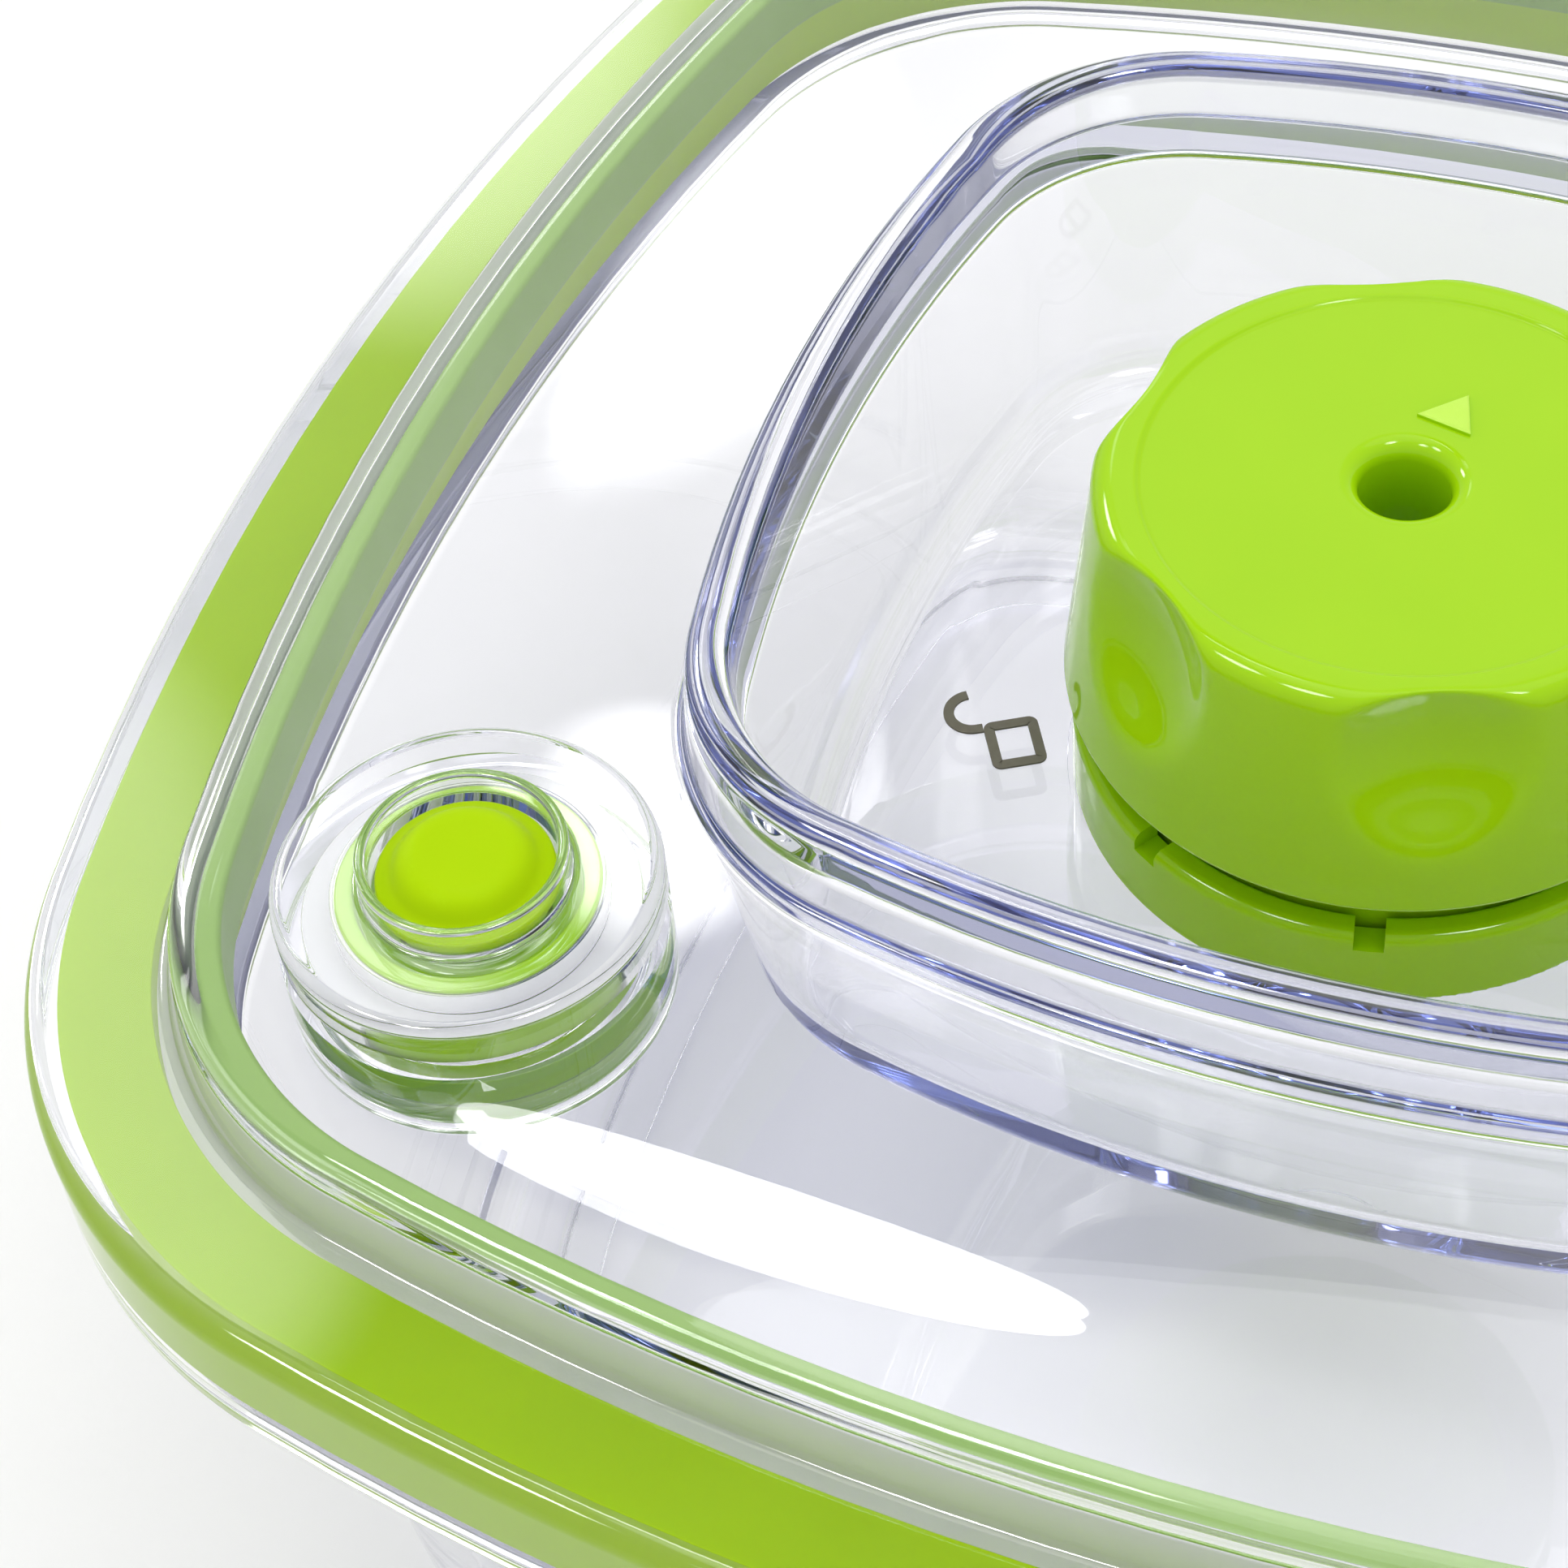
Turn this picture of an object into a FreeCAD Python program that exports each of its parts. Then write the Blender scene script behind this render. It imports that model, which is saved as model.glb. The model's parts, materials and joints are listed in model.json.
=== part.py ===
import FreeCAD, Part
import math
import os
from FreeCAD import Vector

os.makedirs("parts", exist_ok=True)

# All sizes are in millimetres and degrees. The canister stands on the plane z = 0, centred on the Z axis.

# Outline of the ridge round the dish: a square with bowed sides and round corners
finger_room = 15.4
ridge_side_radius = 120.0
ridge_corner_radius = 18.7

# Plan of the lid, outwards from the ridge
panel_width = 29.1
flange_width = 10.4
rim_side_radius = 228.9
rim_corner_radius = 36.7

# Container
foot_height = 1.5
foot_width = 3.5
floor_thickness = 3.0
inner_depth = 54.7
body_wall = 3.0
body_taper = 5.5
body_bottom_round = 8.0
body_inner_round = 6.0
rim_width = 7.0
rim_thickness = 3.0
rim_clearance = 0.5
gate_mark_radius = 4.1
gate_mark_depth = 0.8

# Gasket: a channel that grips the lid's rib from below
gasket_web = 3.3
gasket_outer_leg_height = 3.6
gasket_outer_leg = 4.7
gasket_inner_leg = 1.7
gasket_fit = 0.3

# Lid
flange_thickness = 1.4
skirt_wall = 2.2
skirt_overlap = 1.7
skirt_top_round = 1.6
riser_draft = 1.0
riser_wall = 2.1
panel_rise = 6.4
panel_thickness = 3.0
shoulder_width = 11.2
shoulder_drop = 1.0
shoulder_round = 1.6
ridge_rise = 6.3
ridge_wall = 2.7
ridge_draft = 0.6
dish_depth = 26.6
dish_draft = 2.6
dish_floor_thickness = 3.0
dish_round = 3.0
small_round = 0.4
edge_round = 0.8

# Printed padlocks on the dish floor
mark_azimuth = 194.5
mark_gap = 2.2
mark_body_width = 4.4
mark_body_height = 3.9
mark_stroke = 0.75
mark_shackle_radius = 1.65
mark_shackle_leg = 0.5
mark_thickness = 0.2
mark_turn = 16.0

# Knob: the pointer aims at the open padlock when the knob is at rest
pointer_azimuth = 196.0
knob_turn = 90.0
knob_height = 17.2
knob_top_radius = 20.0
knob_flare = 2.0
knob_rim_width = 3.0
knob_rim_rise = 0.2
knob_rim_round = 3.2
knob_wall = 2.4
knob_gap = 3.3
knob_hub_wall = 2.7
sleeve_wall = 2.0
sleeve_clearance = 0.5
dent_count = 6
dent_radius = 13.0
dent_depth = 1.9
dent_height = 14.1
dent_azimuth = -69.0
port_radius = 3.0
port_depth = 11.3
port_mouth_round = 1.3
pointer_length = 3.2
pointer_width = 3.5
pointer_rise = 0.35
pointer_offset_along = -2.5
pointer_offset_across = -5.8
stop_rib_width = 2.4

# Valve housing under the knob
base_setback = 0.6
base_ring_height = 6.6
base_ring_wall = 2.0
base_floor = 3.0
base_boss_step = 0.7
base_boss_height = 6.0
base_end_wall = 2.0
shank_wall = 2.6
notch_count = 8
notch_azimuth = -77.5
notch_width = 2.0
notch_depth = 1.4
stop_post_share = 0.48
stop_post_height = 3.2
stop_play = 1.0
seal_gap = 1.6
seal_setback = 4.0
seal_width = 5.0
seal_thickness = 1.2
nut_sides = 6
nut_height = 4.0
nut_wall = 4.2
thread_clearance = 0.15

# Spindle that turns with the knob
seat_thickness = 1.8
stem_radius = 6.4
stem_flange_height = 3.0
stem_flat = 1.2
stem_channel_radius = 1.6
valve_port_radius = 1.5
valve_port_circle = 4.6
valve_passage_radius = 1.2
o_ring_section = 0.8
stem_o_ring_height = 1.5
gland_wall = 1.8
gland_flange_setback = 1.0
gland_flange_thickness = 1.2
running_fit = 0.05
press_fit = 0.1
loose_fit = 0.3
hub_gap = 0.6

# Vacuum release button in a boss at one corner of the lid
boss_gap = 4.1
boss_outer_gap = 3.47
boss_wall = 1.6
boss_rise = 2.6
boss_plate = 2.8
tube_wall = 0.7
tube_rise = 2.2
plug_height = 6.9
plug_floor = 1.9
retainer_thickness = 2.0
retainer_gap = 1.4
button_travel = 2.0
button_edge = 0.8
button_dome_rise = 1.7
button_dome_round = 3.4
button_flange = 1.1
button_stem_play = 0.2
button_play = 0.3
pin_radius = 1.3
pin_socket = 0.8
pin_head_width = 0.7
pin_head = 0.6
pin_hole_play = 0.7
poppet_overlap = 1.6
poppet_thickness = 1.5
spring_wire = 0.5
spring_turns = 5
spring_inner_play = 0.85
spring_outer_play = 0.65
spring_recess_wall = 1.2
spring_recess_depth = 4.0

# Overlap of the solids that are joined into one piece
join = 1.0

# Largest share of a profile's straight side that the round at one of its ends may take
corner_share = 0.49

# Heights and half widths that follow from the sizes above
floor_top = foot_height + floor_thickness
rim_top = floor_top + inner_depth
web_top = rim_top + gasket_web
flange_under = web_top + gasket_outer_leg_height
flange_top = flange_under + flange_thickness
panel_top = flange_top + panel_rise
panel_under = panel_top - panel_thickness
ridge_top = panel_top + ridge_rise
dish_top = ridge_top - dish_depth
dish_under = dish_top - dish_floor_thickness
dish_parting = panel_under - 2 * edge_round
knob_bottom_radius = knob_top_radius + knob_flare
knob_face_radius = knob_top_radius - knob_rim_width
base_radius = knob_bottom_radius - base_setback
sleeve_outer = base_radius - base_ring_wall - sleeve_clearance
sleeve_inner = sleeve_outer - sleeve_wall
base_bore = stem_radius + gland_wall
shank_radius = base_bore + shank_wall
base_boss_radius = shank_radius + base_boss_step
stop_post_circle = (base_boss_radius + sleeve_inner) / 2
stop_post_radius = stop_post_share * (sleeve_inner - base_boss_radius) / 2
seal_middle = (shank_radius + seal_gap + base_radius - seal_setback) / 2
seal_inner = seal_middle - seal_width / 2
seal_outer = seal_middle + seal_width / 2
mark_radius = base_radius + mark_gap

dish_floor_half = base_radius + finger_room
dish_wall_inner = dish_floor_half + dish_draft
ridge_half = dish_wall_inner + ridge_wall
riser_half = ridge_half + panel_width
lid_half = riser_half + flange_width
skirt_inner = lid_half - skirt_wall
gasket_outer_half = skirt_inner - gasket_fit
rib_outer = gasket_outer_half - gasket_outer_leg - gasket_fit
riser_foot = riser_half + riser_draft
rib_inner = riser_foot - riser_wall
gasket_inner_outer = rib_inner - gasket_fit
gasket_inner_half = gasket_inner_outer - gasket_inner_leg
shoulder_half = riser_half - shoulder_width
pocket_top = panel_under - shoulder_drop

base_top = dish_top + base_ring_height
knob_bottom = base_top + knob_gap
knob_top = knob_bottom + knob_height
port_bottom = knob_top - port_depth
boss_top = dish_top + base_boss_height
gland_top = boss_top + gland_flange_thickness
hub_bottom = gland_top + hub_gap
stem_flange_top = dish_top - base_floor - loose_fit
stem_bottom = stem_flange_top - stem_flange_height
seat_bottom = stem_bottom - seat_thickness
shank_bottom = seat_bottom - base_end_wall

button_top_plate = panel_top + boss_rise
plug_top = button_top_plate - boss_plate
plug_bottom = plug_top - plug_height
plug_middle = (plug_top + plug_bottom) / 2
retainer_bottom = plug_bottom - retainer_thickness
plug_bore_floor = plug_bottom + plug_floor
tube_top = button_top_plate + tube_rise
button_under = plug_top + button_travel + button_play
button_stem_bottom = plug_bore_floor + button_travel + button_stem_play
button_recess_top = button_stem_bottom + spring_recess_depth
pin_hole_radius = pin_radius + pin_hole_play
poppet_radius = pin_hole_radius + poppet_overlap
retainer_opening = poppet_radius + retainer_gap
spring_radius = pin_radius + spring_inner_play + spring_wire / 2
spring_recess_radius = spring_radius + spring_wire / 2 + spring_outer_play
button_stem_radius = spring_recess_radius + spring_recess_wall
button_edge_radius = button_stem_radius + button_flange
tube_bore = button_edge_radius + loose_fit
tube_radius = tube_bore + tube_wall


def tangent_corner(before, here, after):
    """The two ends and the middle of the arc that rounds one corner of a profile."""
    point = Vector(here[0], 0, here[1])
    to_before = Vector(before[0], 0, before[1]) - point
    to_after = Vector(after[0], 0, after[1]) - point
    half_angle = to_before.getAngle(to_after) / 2
    room = corner_share * min(to_before.Length, to_after.Length)
    reach = min(here[2] / math.tan(half_angle), room)
    radius = reach * math.tan(half_angle)
    to_before.normalize()
    to_after.normalize()
    bisector = to_before + to_after
    bisector.normalize()
    middle = point + bisector * (radius / math.sin(half_angle) - radius)
    return point + to_before * reach, middle, point + to_after * reach


def profile_face(points):
    """A face in the XZ plane from (x, z, corner radius) points."""
    arcs = []
    for index, here in enumerate(points):
        before = points[index - 1]
        after = points[(index + 1) % len(points)]
        if here[2] > 0:
            arcs.append(tangent_corner(before, here, after))
        else:
            corner = Vector(here[0], 0, here[1])
            arcs.append((corner, None, corner))
    edges = []
    for index, (start, middle, end) in enumerate(arcs):
        if middle is not None:
            edges.append(Part.Arc(start, middle, end).toShape())
        following = arcs[(index + 1) % len(arcs)][0]
        if end.distanceToPoint(following) > 1e-6:
            edges.append(Part.LineSegment(end, following).toShape())
    return Part.Face(Part.Wire(edges))


def turned(points):
    """A solid of revolution about the Z axis from (radius, z, corner radius) points."""
    return profile_face(points).revolve(Vector(0, 0, 0), Vector(0, 0, 1), 360)


def cylinder(radius, bottom, top, x=0.0, y=0.0):
    return Part.makeCylinder(radius, top - bottom, Vector(x, y, bottom))


def at_azimuth(shape, azimuth):
    """A copy of a shape, turned about the Z axis."""
    copy = shape.copy()
    copy.rotate(Vector(0, 0, 0), Vector(0, 0, 1), azimuth)
    return copy


class Outline:
    """A square with bowed sides and round corners. Its parallel outlines share the arcs' centres."""

    def __init__(self, half, side_radius, corner_radius):
        self.half = half
        self.side_radius = side_radius
        self.corner_radius = corner_radius
        self.side_centre = half - side_radius
        span = side_radius - corner_radius
        root = math.sqrt(2 * span ** 2 - self.side_centre ** 2)
        self.corner_centre = (self.side_centre + root) / 2
        self.half_turn = math.degrees(math.atan2(self.corner_centre, self.corner_centre - self.side_centre))

    def arcs(self):
        """Each arc's centre, radius, start and sweep, counter-clockwise from the +X side."""
        side = Vector(self.side_centre, 0, 0)
        corner = Vector(self.corner_centre, self.corner_centre, 0)
        turn = FreeCAD.Rotation(Vector(0, 0, 1), 90)
        for quarter in range(4):
            start = 90 * quarter - self.half_turn
            yield side, self.side_radius, start, 2 * self.half_turn
            yield corner, self.corner_radius, start + 2 * self.half_turn, 90 - 2 * self.half_turn
            side = turn.multVec(side)
            corner = turn.multVec(corner)

    def plate(self, half, bottom, top):
        """A flat plate whose edge is the parallel outline of the given half width."""
        edges = []
        for centre, radius, start, sweep in self.arcs():
            middle = centre + Vector(0, 0, bottom)
            grown = radius + half - self.half
            edges.append(Part.makeCircle(grown, middle, Vector(0, 0, 1), start, start + sweep))
        return Part.Face(Part.Wire(edges)).extrude(Vector(0, 0, top - bottom))

    def ring(self, points):
        """A ring of one section all round, from (half width, z, corner radius) points."""
        segments = []
        for centre, radius, start, sweep in self.arcs():
            shift = radius - self.half
            section = profile_face([(half + shift, z, rounding) for half, z, rounding in points])
            segment = section.revolve(Vector(0, 0, 0), Vector(0, 0, 1), sweep)
            segment.rotate(Vector(0, 0, 0), Vector(0, 0, 1), start)
            segment.translate(centre)
            segments.append(segment)
        return segments[0].fuse(segments[1:]).removeSplitter()

    def corner_distance(self, half):
        """How far the corner of the parallel outline of the given half width lies from the Z axis."""
        return self.corner_centre * math.sqrt(2) + self.corner_radius + half - self.half


rim = Outline(lid_half, rim_side_radius, rim_corner_radius)
ridge = Outline(ridge_half, ridge_side_radius, ridge_corner_radius)

# The button's boss stands on the diagonal and fills the room between the ridge and the gasket
boss_start = ridge.corner_distance(ridge_half) + boss_gap
boss_end = rim.corner_distance(gasket_inner_half) - boss_outer_gap
boss_radius = (boss_end - boss_start) / 2
cavity_radius = boss_radius - boss_wall
plug_radius = cavity_radius - loose_fit
button_x = -(boss_start + boss_end) / 2 / math.sqrt(2)
button_y = button_x


def container_body():
    rim_half = skirt_inner - rim_clearance
    body_half = rim_half - rim_width
    bottom_half = body_half - body_taper
    foot_outer = bottom_half - body_bottom_round
    foot_inner = foot_outer - foot_width
    walls = rim.ring([
        (body_half - body_wall, rim_top, small_round),
        (rim_half, rim_top, small_round),
        (rim_half, rim_top - rim_thickness, edge_round),
        (body_half, rim_top - rim_thickness, edge_round),
        (bottom_half, foot_height, body_bottom_round),
        (foot_outer, foot_height, 0),
        (foot_outer, 0, small_round),
        (foot_inner, 0, small_round),
        (foot_inner, foot_height, 0),
        (foot_inner - 2 * join, foot_height, 0),
        (foot_inner - 2 * join, floor_top, 0),
        (bottom_half - body_wall, floor_top, body_inner_round),
    ])
    floor = rim.plate(foot_inner - join, foot_height, floor_top)
    gate_mark = cylinder(gate_mark_radius, foot_height, foot_height + gate_mark_depth)
    return walls.fuse(floor).cut(gate_mark).removeSplitter()


def rim_gasket():
    return rim.ring([
        (gasket_inner_half, rim_top, small_round),
        (gasket_outer_half, rim_top, small_round),
        (gasket_outer_half, flange_under, small_round),
        (gasket_outer_half - gasket_outer_leg, flange_under, small_round),
        (gasket_outer_half - gasket_outer_leg, web_top, 0),
        (gasket_inner_outer, web_top, 0),
        (gasket_inner_outer, pocket_top - gasket_fit, small_round),
        (gasket_inner_half, pocket_top - gasket_fit, small_round),
    ])


def lid_rim():
    """Skirt, channel flange, rib, riser and the panel's sloping shoulder."""
    inner_end = shoulder_half - 2 * join
    return rim.ring([
        (lid_half, rim_top - skirt_overlap, small_round),
        (lid_half, flange_top, skirt_top_round),
        (riser_foot, flange_top, edge_round),
        (riser_half, panel_top - shoulder_drop, shoulder_round),
        (shoulder_half, panel_top, 0),
        (inner_end, panel_top, 0),
        (inner_end, panel_under, 0),
        (shoulder_half, panel_under, 0),
        (rib_inner, pocket_top, small_round),
        (rib_inner, web_top, small_round),
        (rib_outer, web_top, small_round),
        (rib_outer, flange_under, 0),
        (skirt_inner, flange_under, 0),
        (skirt_inner, rim_top - skirt_overlap, small_round),
    ])


def ridge_ring():
    """The dish's wall with its ridge, a strip of the panel round it, and the dish floor's edge."""
    foot_half = ridge_half + ridge_draft
    strip_half = foot_half + 2 * join + edge_round
    floor_end = dish_floor_half - dish_round - join
    return ridge.ring([
        (dish_wall_inner, ridge_top, ridge_wall / 2),
        (ridge_half, ridge_top, ridge_wall / 2),
        (foot_half, panel_top, edge_round),
        (strip_half, panel_top, 0),
        (strip_half, panel_under, 0),
        (foot_half, panel_under, edge_round),
        (dish_floor_half + ridge_wall, dish_under, dish_round + ridge_wall),
        (floor_end, dish_under, 0),
        (floor_end, dish_top, 0),
        (dish_floor_half, dish_top, dish_round),
    ])


def button_boss():
    boss = turned([
        (tube_bore, plug_top, 0),
        (tube_bore, tube_top, tube_wall / 2),
        (tube_radius, tube_top, tube_wall / 2),
        (tube_radius, button_top_plate, small_round),
        (boss_radius, button_top_plate, edge_round),
        (boss_radius, retainer_bottom, small_round),
        (cavity_radius, retainer_bottom, small_round),
        (cavity_radius, plug_top, small_round),
    ])
    boss.translate(Vector(button_x, button_y, 0))
    return boss


def whole_lid():
    """The lid as it is moulded, in one piece."""
    dish_cut = ridge_half + ridge_draft + join
    panel = rim.plate(shoulder_half - join, panel_under, panel_top)
    panel = panel.cut(ridge.plate(dish_cut, panel_under, panel_top))
    boss_hole = cylinder(cavity_radius, retainer_bottom, panel_top, button_x, button_y)
    floor = ridge.plate(dish_floor_half - dish_round, dish_under, dish_top)
    floor = floor.cut(cylinder(shank_radius + loose_fit, dish_under, dish_top))
    shell = lid_rim().fuse([panel, ridge_ring(), floor]).cut(boss_hole)
    return shell.fuse(button_boss()).removeSplitter()


def dish_room():
    """The room round the dish below the panel, which parts the lid's two solids."""
    return ridge.plate(ridge_half + ridge_draft + join, dish_under - join, dish_parting)


def lid_shell():
    return whole_lid().cut(dish_room())


def lid_dish():
    return whole_lid().common(dish_room())


def padlock(shackle_centre):
    """A padlock outline on the dish floor, its shackle pointing out along +Y."""
    half = mark_body_width / 2
    inner_half = half - mark_stroke
    body = Part.makeBox(mark_body_width, mark_body_height, mark_thickness, Vector(-half, 0, 0))
    window_height = mark_body_height - 2 * mark_stroke
    window = Part.makeBox(2 * inner_half, window_height, mark_thickness, Vector(-inner_half, mark_stroke, 0))
    leg_top = mark_body_height + mark_shackle_leg
    outer = mark_shackle_radius + mark_stroke / 2
    inner = mark_shackle_radius - mark_stroke / 2
    centre = Vector(shackle_centre, leg_top, 0)
    bow = Part.makeCylinder(outer, mark_thickness, centre)
    bow = bow.cut(Part.makeCylinder(inner, mark_thickness, centre))
    bow = bow.common(Part.makeBox(2 * outer, outer, mark_thickness, centre - Vector(outer, 0, 0)))
    leg_size = mark_shackle_leg + mark_stroke / 2
    leg_start = leg_top - leg_size
    pieces = [bow]
    for side in (-1, 1):
        left = shackle_centre + side * mark_shackle_radius - mark_stroke / 2
        if abs(left + mark_stroke / 2) < half:
            pieces.append(Part.makeBox(mark_stroke, leg_size, mark_thickness, Vector(left, leg_start, 0)))
    return body.cut(window).fuse(pieces).removeSplitter()


def placed_mark(shape, azimuth):
    shape.rotate(Vector(0, 0, 0), Vector(0, 0, 1), mark_turn)
    shape.translate(Vector(0, mark_radius, dish_top))
    return at_azimuth(shape, azimuth - 90)


def unlock_mark():
    swung_open = mark_body_width / 2 - mark_stroke / 2 + mark_shackle_radius
    return placed_mark(padlock(swung_open), mark_azimuth)


def lock_mark():
    return placed_mark(padlock(0), mark_azimuth - knob_turn)


def drive_bore(radius, flat, bottom, top):
    """A round bar with one flat, so that the knob carries the spindle round."""
    bar = cylinder(radius, bottom, top)
    keep = Part.makeBox(2 * radius - flat, 2 * radius, top - bottom, Vector(-radius, -radius, bottom))
    return bar.common(keep)


def knob_cap():
    rim_top_edge = knob_top + knob_rim_rise
    ceiling = knob_top - knob_wall
    hub_bore = stem_radius + press_fit
    hub_radius = hub_bore + knob_hub_wall
    sleeve_bottom = dish_top + base_floor + loose_fit
    knob = turned([
        (port_radius, hub_bottom, 0),
        (port_radius, knob_top, port_mouth_round),
        (knob_face_radius, knob_top, 0),
        (knob_face_radius + knob_rim_rise, rim_top_edge, small_round),
        (knob_top_radius, rim_top_edge, knob_rim_round),
        (knob_bottom_radius, knob_bottom, small_round),
        (sleeve_outer, knob_bottom, 0),
        (sleeve_outer, sleeve_bottom, small_round),
        (sleeve_inner, sleeve_bottom, small_round),
        (sleeve_inner, ceiling, edge_round),
        (hub_radius, ceiling, edge_round),
        (hub_radius, hub_bottom, 0),
    ])
    dents = []
    for index in range(dent_count):
        reach = knob_top_radius - dent_depth + dent_radius
        ball = Part.makeSphere(dent_radius, Vector(reach, 0, knob_bottom + dent_height))
        dents.append(at_azimuth(ball, dent_azimuth + index * 360 / dent_count))
    rib_start = Vector(hub_radius - join, -stop_rib_width / 2, sleeve_bottom)
    rib_length = sleeve_inner - hub_radius + 2 * join
    rib = Part.makeBox(rib_length, stop_rib_width, ceiling + join - sleeve_bottom, rib_start)
    rib = at_azimuth(rib, pointer_azimuth)
    clear_of_boss = cylinder(base_boss_radius + edge_round, sleeve_bottom, hub_bottom)
    tip = Vector(-pointer_length / 2, 0, 0)
    wing = Vector(pointer_length / 2, pointer_width / 2, 0)
    other_wing = Vector(pointer_length / 2, -pointer_width / 2, 0)
    arrow = Part.Face(Part.makePolygon([tip, wing, other_wing, tip]))
    arrow = arrow.extrude(Vector(0, 0, pointer_rise + join))
    arrow.rotate(Vector(0, 0, 0), Vector(0, 0, 1), 180)
    arrow.translate(Vector(pointer_offset_along, pointer_offset_across, knob_top - join))
    arrow = at_azimuth(arrow, pointer_azimuth)
    bore = at_azimuth(drive_bore(hub_bore, stem_flat, hub_bottom, port_bottom), pointer_azimuth)
    knob = knob.cut(dents).fuse([rib.cut(clear_of_boss), arrow]).cut(bore)
    return knob.removeSplitter()


def valve_base():
    base = turned([
        (0, shank_bottom, 0),
        (shank_radius, shank_bottom, edge_round),
        (shank_radius, dish_top, 0),
        (seal_inner, dish_top, 0),
        (seal_inner, dish_top + seal_thickness, 0),
        (seal_outer, dish_top + seal_thickness, 0),
        (seal_outer, dish_top, 0),
        (base_radius, dish_top, small_round),
        (base_radius, base_top, edge_round),
        (base_radius - base_ring_wall, base_top, small_round),
        (base_radius - base_ring_wall, dish_top + base_floor, edge_round),
        (base_boss_radius, dish_top + base_floor, edge_round),
        (base_boss_radius, boss_top, small_round),
        (base_bore, boss_top, 0),
        (base_bore, seat_bottom, 0),
        (0, seat_bottom, 0),
    ])
    cuts = []
    notch_start = Vector(base_radius - base_ring_wall - join, -notch_width / 2, base_top - notch_depth)
    notch = Part.makeBox(base_ring_wall + 2 * join, notch_width, notch_depth + join, notch_start)
    for index in range(notch_count):
        cuts.append(at_azimuth(notch, notch_azimuth + index * 360 / notch_count))
    port = cylinder(valve_port_radius, shank_bottom, seat_bottom, valve_port_circle)
    cuts.append(at_azimuth(port, pointer_azimuth))
    reach = (stop_rib_width / 2 + stop_post_radius) / stop_post_circle
    post_turn = math.degrees(math.asin(reach)) + stop_play
    post_bottom = dish_top + base_floor - join
    post = cylinder(stop_post_radius, post_bottom, post_bottom + join + stop_post_height, stop_post_circle)
    posts = [at_azimuth(post, pointer_azimuth + post_turn)]
    posts.append(at_azimuth(post, pointer_azimuth - knob_turn - post_turn))
    return base.fuse(posts).cut(cuts).removeSplitter()


def base_seal():
    return cylinder(seal_outer - loose_fit, dish_top, dish_top + seal_thickness).cut(
        cylinder(seal_inner + loose_fit, dish_top, dish_top + seal_thickness))


def lock_nut():
    bottom = dish_under - nut_height
    flat_radius = shank_radius + nut_wall
    corner_radius = flat_radius / math.cos(math.pi / nut_sides)
    corners = []
    for index in range(nut_sides + 1):
        angle = 2 * math.pi * index / nut_sides
        corners.append(Vector(corner_radius * math.cos(angle), corner_radius * math.sin(angle), bottom))
    nut = Part.Face(Part.makePolygon(corners)).extrude(Vector(0, 0, nut_height))
    rounding = turned([
        (0, bottom, 0),
        (corner_radius, bottom, corner_radius - flat_radius),
        (corner_radius, dish_under, 0),
        (0, dish_under, 0),
    ])
    return nut.common(rounding).cut(cylinder(shank_radius + thread_clearance, bottom, dish_under))


def valve_seat():
    seat = cylinder(base_bore - press_fit, seat_bottom, stem_bottom)
    port = cylinder(valve_port_radius, seat_bottom, stem_bottom, valve_port_circle)
    return seat.cut(at_azimuth(port, pointer_azimuth))


def valve_stem():
    groove_depth = 2 * o_ring_section + press_fit
    groove_middle = dish_top + stem_o_ring_height
    stem = turned([
        (0, stem_bottom, 0),
        (base_bore - loose_fit, stem_bottom, small_round),
        (base_bore - loose_fit, stem_flange_top, small_round),
        (stem_radius, stem_flange_top, 0),
        (stem_radius, groove_middle - o_ring_section - press_fit, 0),
        (stem_radius - groove_depth, groove_middle - o_ring_section - press_fit, 0),
        (stem_radius - groove_depth, groove_middle + o_ring_section + press_fit, 0),
        (stem_radius, groove_middle + o_ring_section + press_fit, 0),
        (stem_radius, hub_bottom, 0),
        (0, hub_bottom, 0),
    ])
    spigot = drive_bore(stem_radius, stem_flat, hub_bottom, port_bottom)
    passage_height = (stem_bottom + stem_flange_top) / 2
    channel = cylinder(stem_channel_radius, passage_height, port_bottom)
    passage = Part.makeCylinder(valve_passage_radius, valve_port_circle,
                                Vector(0, 0, passage_height), Vector(1, 0, 0))
    port = cylinder(valve_port_radius, stem_bottom, passage_height, valve_port_circle)
    stem = stem.fuse(spigot).cut([channel, passage, port]).removeSplitter()
    return at_azimuth(stem, pointer_azimuth)


def stem_o_ring():
    middle = Vector(0, 0, dish_top + stem_o_ring_height)
    return Part.makeTorus(stem_radius + running_fit / 2 - o_ring_section, o_ring_section, middle)


def gland_collar():
    flange = base_boss_radius - gland_flange_setback
    return turned([
        (stem_radius + running_fit, stem_flange_top + press_fit, small_round),
        (base_bore - press_fit, stem_flange_top + press_fit, small_round),
        (base_bore - press_fit, boss_top, 0),
        (flange, boss_top, small_round),
        (flange, gland_top, small_round),
        (stem_radius + running_fit, gland_top, small_round),
    ])


def on_button_axis(shape):
    shape.translate(Vector(button_x, button_y, 0))
    return shape


def release_button():
    crown = button_under + button_edge + button_dome_rise
    return on_button_axis(turned([
        (pin_radius + running_fit, button_recess_top, 0),
        (pin_radius + running_fit, button_recess_top + pin_socket, 0),
        (0, button_recess_top + pin_socket, 0),
        (0, crown, 0),
        (button_stem_radius, crown, button_dome_round),
        (button_stem_radius + small_round, button_under + button_edge, small_round),
        (button_edge_radius, button_under + button_edge, small_round),
        (button_edge_radius, button_under, small_round),
        (button_stem_radius, button_under, 0),
        (button_stem_radius, button_stem_bottom, small_round),
        (spring_recess_radius, button_stem_bottom, 0),
        (spring_recess_radius, button_recess_top, 0),
    ]))


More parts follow.
